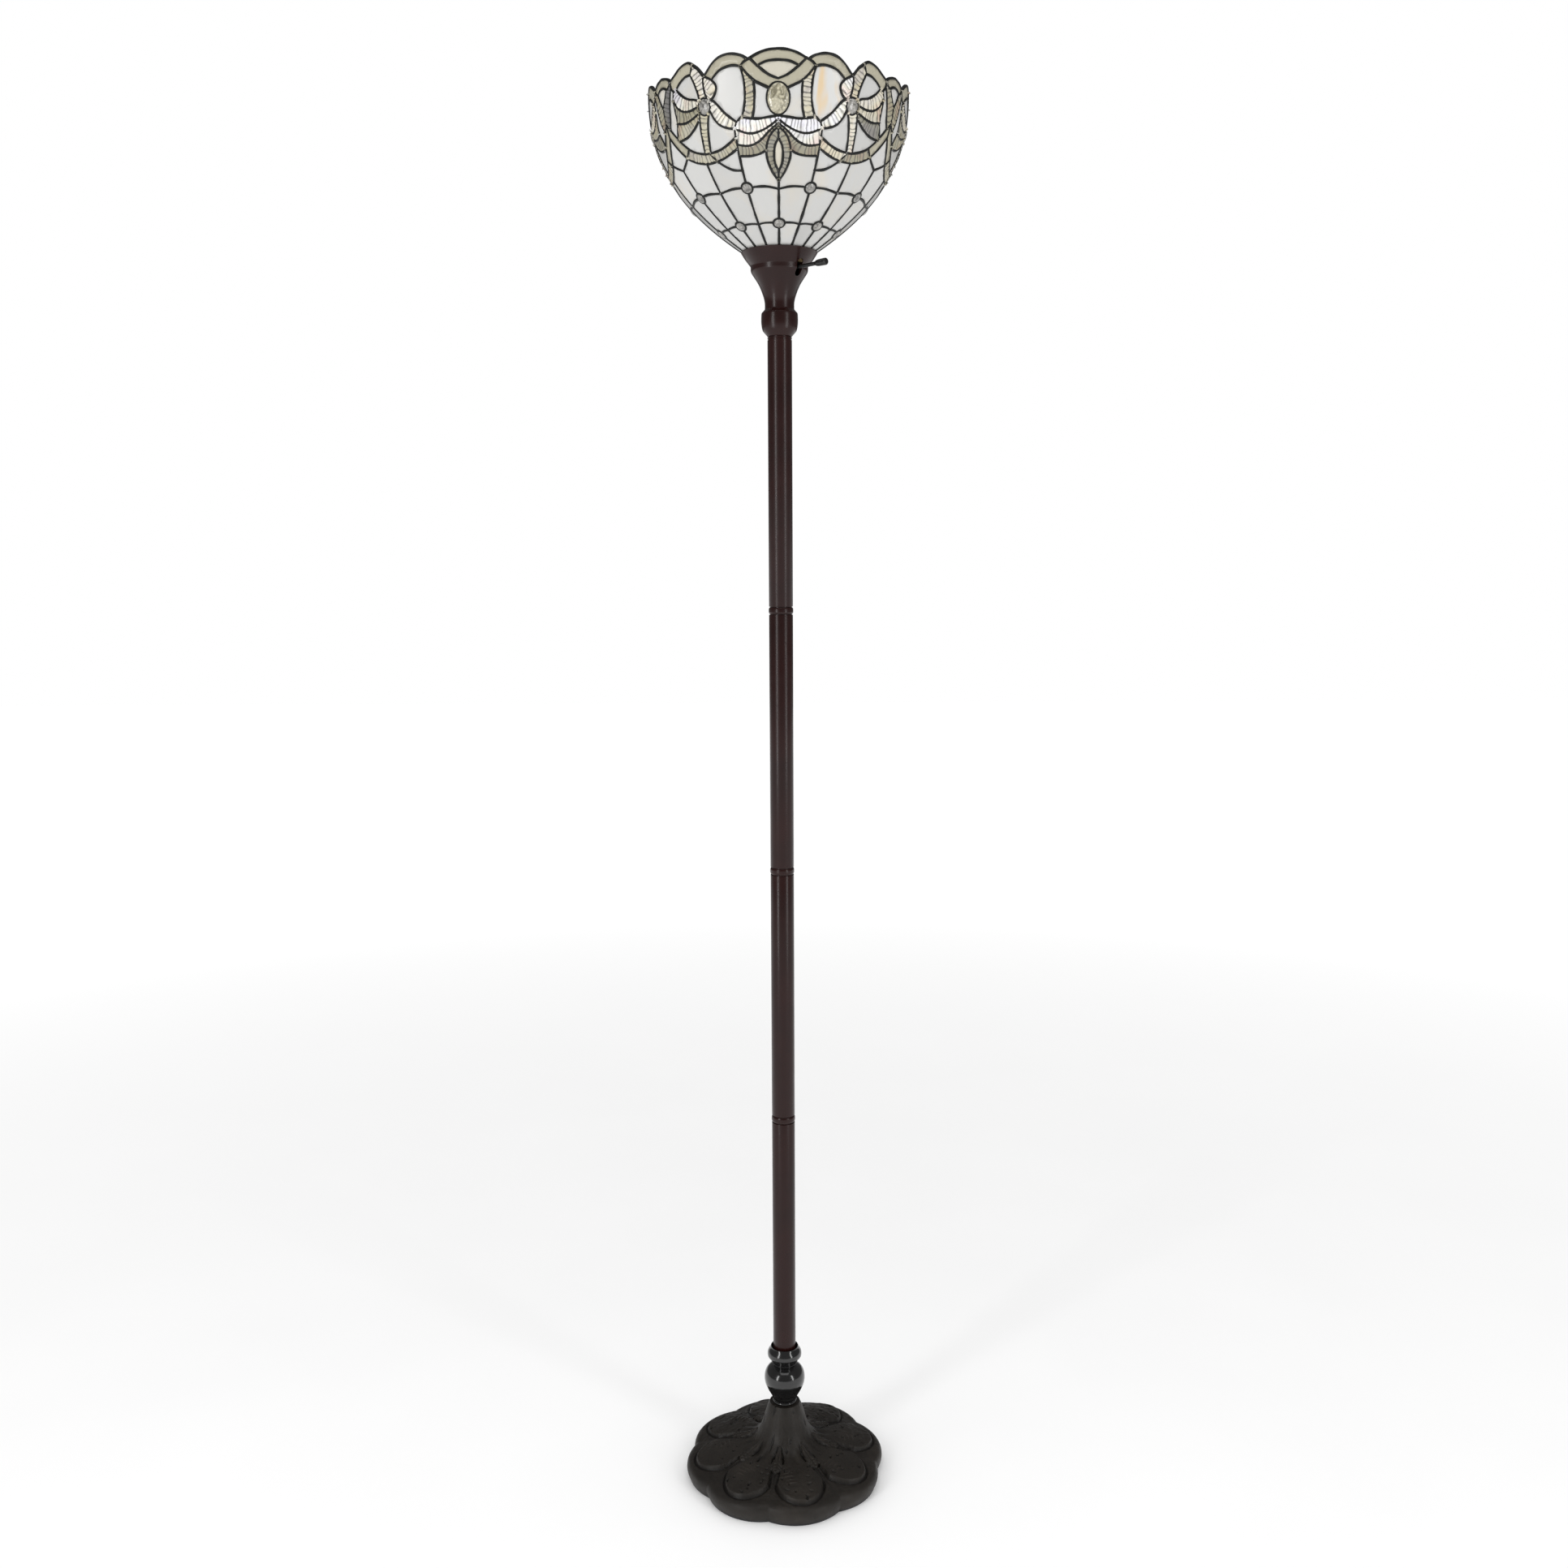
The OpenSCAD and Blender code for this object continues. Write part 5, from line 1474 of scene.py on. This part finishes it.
class TORCHIERE_OT_jewels(bpy.types.Operator):
    """Add the round, oval and bow-knot jewels"""

    bl_idname = "torchiere.jewels"
    bl_label = "Jewels"

    def execute(self, context):
        pearl = hammered_glass("pearl_jewel", colours().pearl, shade_of(colours().pearl, 0.33))
        amber = hammered_glass("amber_jewel", (0.42, 0.39, 0.29), (0.15, 0.135, 0.09))
        around = [(120 * k, turn) for k in range(3) for turn in (1, -1)]
        rounds = [(base + side * t, s) for base, side in around for t, s in LOW_JEWELS]
        self.group("low_round_jewels", rounds, (ROUND_HALF, ROUND_HALF), 3.2, pearl, "pearl_jewel",
                   ["low_jewels"])
        rounds = [(base + side * t, s) for base, side in around for t, s in TOP_JEWELS]
        self.group("top_round_jewels", rounds, (ROUND_HALF, ROUND_HALF), 3.2, pearl, "pearl_jewel",
                   ["top_jewels"])
        bows = [(base + side * BOW[0], BOW[1]) for base, side in around]
        self.group("bow_knot_jewels", bows, BOW[2:], 3.6, pearl, "pearl_jewel", ["bow_jewels"])
        ovals = [(120 * k, OVAL[1]) for k in range(3)]
        self.group("oval_rim_jewels", ovals, OVAL[2:], 4.2, amber, "amber_jewel", ["oval_jewels"])
        return {"FINISHED"}

    @staticmethod
    def group(name, sites, half, bulge, finish, slot, stands_for):
        """Domed jewels at their places, each once."""
        bm = bmesh.new()
        placed = set()
        for turn, s in sites:
            key = round(turn % 360, 2)
            if key in placed:
                continue
            placed.add(key)
            scale = Matrix.Diagonal((half[0] * MM, half[1] * MM, bulge * MM, 1))
            sink = Matrix.Translation((0, 0, -0.8 * MM))
            made = bmesh.ops.create_uvsphere(bm, u_segments=28, v_segments=14, radius=1.0,
                                             matrix=bowl_frame(turn, s) @ sink @ scale)
            flat = bowl_frame(turn, s)
            back = [v for v in made["verts"] if (flat.inverted() @ v.co).z < -GLASS_THICK * MM]
            for vert in back:
                local = flat.inverted() @ vert.co
                local.z = -GLASS_THICK * MM
                vert.co = flat @ local
        bmesh.ops.recalc_face_normals(bm, faces=bm.faces)
        finish_piece(name, bm, finish, LAMP, stands_for)


class TORCHIERE_OT_socket(bpy.types.Operator):
    """Add what shows inside the bowl under the bulb: shade cap, ring nut and socket shell"""

    bl_idname = "torchiere.socket"
    bl_label = "Socket and Shade Cap"

    def execute(self, context):
        brass = metal("aged_brass", (0.10, 0.07, 0.035), 0.45)
        low, high = low_z("shade_cap"), high_z("shade_cap")
        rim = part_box("shade_cap")[1].x / MM
        plate = [(17.1, low), (34.6, low)] + flowing([(34.6, low), (36.4, low + 2), (rim, high - 0.6),
                                                      (rim, high)], 3)[1:]
        plate += [(rim - 3, high), (33.0, low + 1.6), (17.1, low + 1.6)]
        finish_piece("bowl_foot_plate", turned(plate), brass, LAMP, ["shade_cap"])
        low, high = low_z("ring_nut"), high_z("ring_nut")
        bm = turned([(17.05, low), (25.4, low), (25.9, low + 0.5), (25.9, high - 0.5), (25.4, high),
                     (17.05, high)], 96)
        for vert in bm.verts:
            turn = math.atan2(vert.co.y, vert.co.x)
            if vert.co.xy.length > 20 * MM:
                vert.co.xy *= 1 - 0.045 * max(0.0, math.cos(12 * turn)) ** 4
        finish_piece("socket_ring_nut", bm, brass, LAMP, ["ring_nut"])
        low, high = low_z("socket_shell"), high_z("socket_shell")
        ribs = []
        for k in range(7):
            z = KEY_Z + 13 + k * 2.6
            ribs += [(17, z), (16.6, z + 0.9), (17, z + 1.8)]
        shell = [(16.4, low), (17, low)] + ribs + [(17, high - 2), (17.5, high - 0.8), (17.3, high),
                                                   (16.4, high)]
        piece = finish_piece("socket_tube", turned(shell), brass, LAMP, ["socket_shell"])
        hole = bmesh.new()
        bmesh.ops.create_cone(hole, cap_ends=True, segments=32, radius1=3.2 * MM, radius2=3.2 * MM,
                              depth=0.03)
        bmesh.ops.rotate(hole, cent=(0, 0, 0), matrix=Matrix.Rotation(math.pi / 2, 3, "Y"),
                         verts=hole.verts)
        bmesh.ops.translate(hole, vec=(0.02, 0, KEY_Z * MM), verts=hole.verts)
        bmesh.ops.rotate(hole, cent=(0, 0, 0), matrix=Matrix.Rotation(KEY_TURN, 3, "Z"),
                         verts=hole.verts)
        cut_away(piece, hole)
        piece.data.shade_smooth()
        piece.data.set_sharp_from_angle(angle=math.radians(40))
        return {"FINISHED"}


class TORCHIERE_OT_bulb(bpy.types.Operator):
    """Add the frosted bulb with its screw cap"""

    bl_idname = "torchiere.bulb"
    bl_label = "Bulb"

    def execute(self, context):
        low, high = low_z("bulb_glass"), high_z("bulb_glass")
        r = reach("bulb_glass")
        centre = high - r
        crown = arc((0, centre), r, -20, 90, 18)
        neck = flowing([(12.6, low), (13.2, low + 6), (16.4, low + 16), (22.4, low + 28), crown[0]], 5)
        inner = [(x - 0.8 if x > 0.9 else 0, z - (0.8 if x < 0.9 else 0)) for x,
                 z in reversed(neck + crown[1:])]
        finish_piece("bulb_envelope", turned(neck + crown[1:] + inner, 64), frosted_bulb(), BULB,
                     ["bulb_glass"])
        low, high = low_z("bulb_cap"), high_z("bulb_cap")
        thread = []
        for k in range(5):
            z = high - 5 - k * 3.6
            thread += [(12.9, z), (12.5, z - 0.9), (11.9, z - 1.8), (12.5, z - 2.7)]
        cap = [(0, high), (12.2, high), (12.9, high - 0.6),
               (12.9, high - 3)] + thread + [(9, low + 1.8), (5, low), (0, low)]
        finish_piece("bulb_screw_cap", turned(cap, 64),
                     metal("bulb_aluminium", (0.76, 0.75, 0.73), 0.25), BULB,
                     ["bulb_cap"])
        return {"FINISHED"}


class TORCHIERE_OT_finishes(bpy.types.Operator):
    """Give the CAD pieces that stay their finishes"""

    bl_idname = "torchiere.finishes"
    bl_label = "Finishes"

    def execute(self, context):
        steel = metal("zinc_steel", (0.55, 0.55, 0.54), 0.32)
        plated = metal("plated_thread", (0.50, 0.48, 0.45), 0.35)
        brass = metal("contact_brass", (0.60, 0.44, 0.20), 0.25)
        kept = {
            felt(): ["felt_pad"],
            metal("raw_iron", (0.10, 0.095, 0.09), 0.6, 0.6): ["base_weight"],
            steel: ["base_plate", "base_washer", "base_nut", "cup_nut", "terminal_screws"],
            plated: ["tie_rod", "pole_foot_insert", "tube_inserts", "pole_couplers", "top_nipple"],
            moulded("bush_rubber", (0.010, 0.010, 0.010), 0.55): ["outlet_bush"],
            brass: ["socket_cap", "screw_shell", "centre_contact"],
            moulded("pressed_fibre", (0.30, 0.22, 0.13), 0.8): ["socket_liner"],
            moulded("pale_phenolic", (0.70, 0.66, 0.55), 0.4): ["switch_block"],
            moulded("wire_insulation", (0.74, 0.71, 0.65), 0.45): ["switch_wires"],
            metal("bulb_contact_tin", (0.45, 0.44, 0.42), 0.35): ["bulb_contact"],
        }
        for finish, names in kept.items():
            for name in names:
                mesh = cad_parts[name].data
                mesh.materials.clear()
                mesh.materials.append(finish)
        if SHEET in bpy.data.meshes:
            bpy.data.meshes.remove(bpy.data.meshes[SHEET])
        return {"FINISHED"}


class TORCHIERE_PT_panel(bpy.types.Panel):
    """Lists the lamp's pieces, sizes and colours"""

    bl_idname = "TORCHIERE_PT_panel"
    bl_label = "Torchiere Floor Lamp"
    bl_space_type = "VIEW_3D"
    bl_region_type = "UI"
    bl_category = "Torchiere"

    def draw(self, context):
        for group in (context.scene.torchiere_sizes, context.scene.torchiere_colours):
            box = self.layout.box()
            for name in group.__annotations__:
                box.prop(group, name)
        column = self.layout.column(align=True)
        for operator in OPERATORS:
            column.operator(operator.bl_idname)


OPERATORS = (
    TORCHIERE_OT_stage,
    TORCHIERE_OT_foot,
    TORCHIERE_OT_neck,
    TORCHIERE_OT_pole,
    TORCHIERE_OT_cup,
    TORCHIERE_OT_key,
    TORCHIERE_OT_glass,
    TORCHIERE_OT_lead,
    TORCHIERE_OT_jewels,
    TORCHIERE_OT_socket,
    TORCHIERE_OT_bulb,
    TORCHIERE_OT_finishes,
)
CLASSES = (TorchiereSizes, TorchiereColours, *OPERATORS, TORCHIERE_PT_panel)


def register():
    for cls in CLASSES:
        bpy.utils.register_class(cls)
    bpy.types.Scene.torchiere_sizes = PointerProperty(type=TorchiereSizes)
    bpy.types.Scene.torchiere_colours = PointerProperty(type=TorchiereColours)


def unregister():
    del bpy.types.Scene.torchiere_colours
    del bpy.types.Scene.torchiere_sizes
    for cls in reversed(CLASSES):
        bpy.utils.unregister_class(cls)


def main():
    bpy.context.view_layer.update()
    register()
    for operator in OPERATORS:
        group, name = operator.bl_idname.split(".")
        getattr(getattr(bpy.ops, group), name)()


if __name__ == "__main__":
    main()
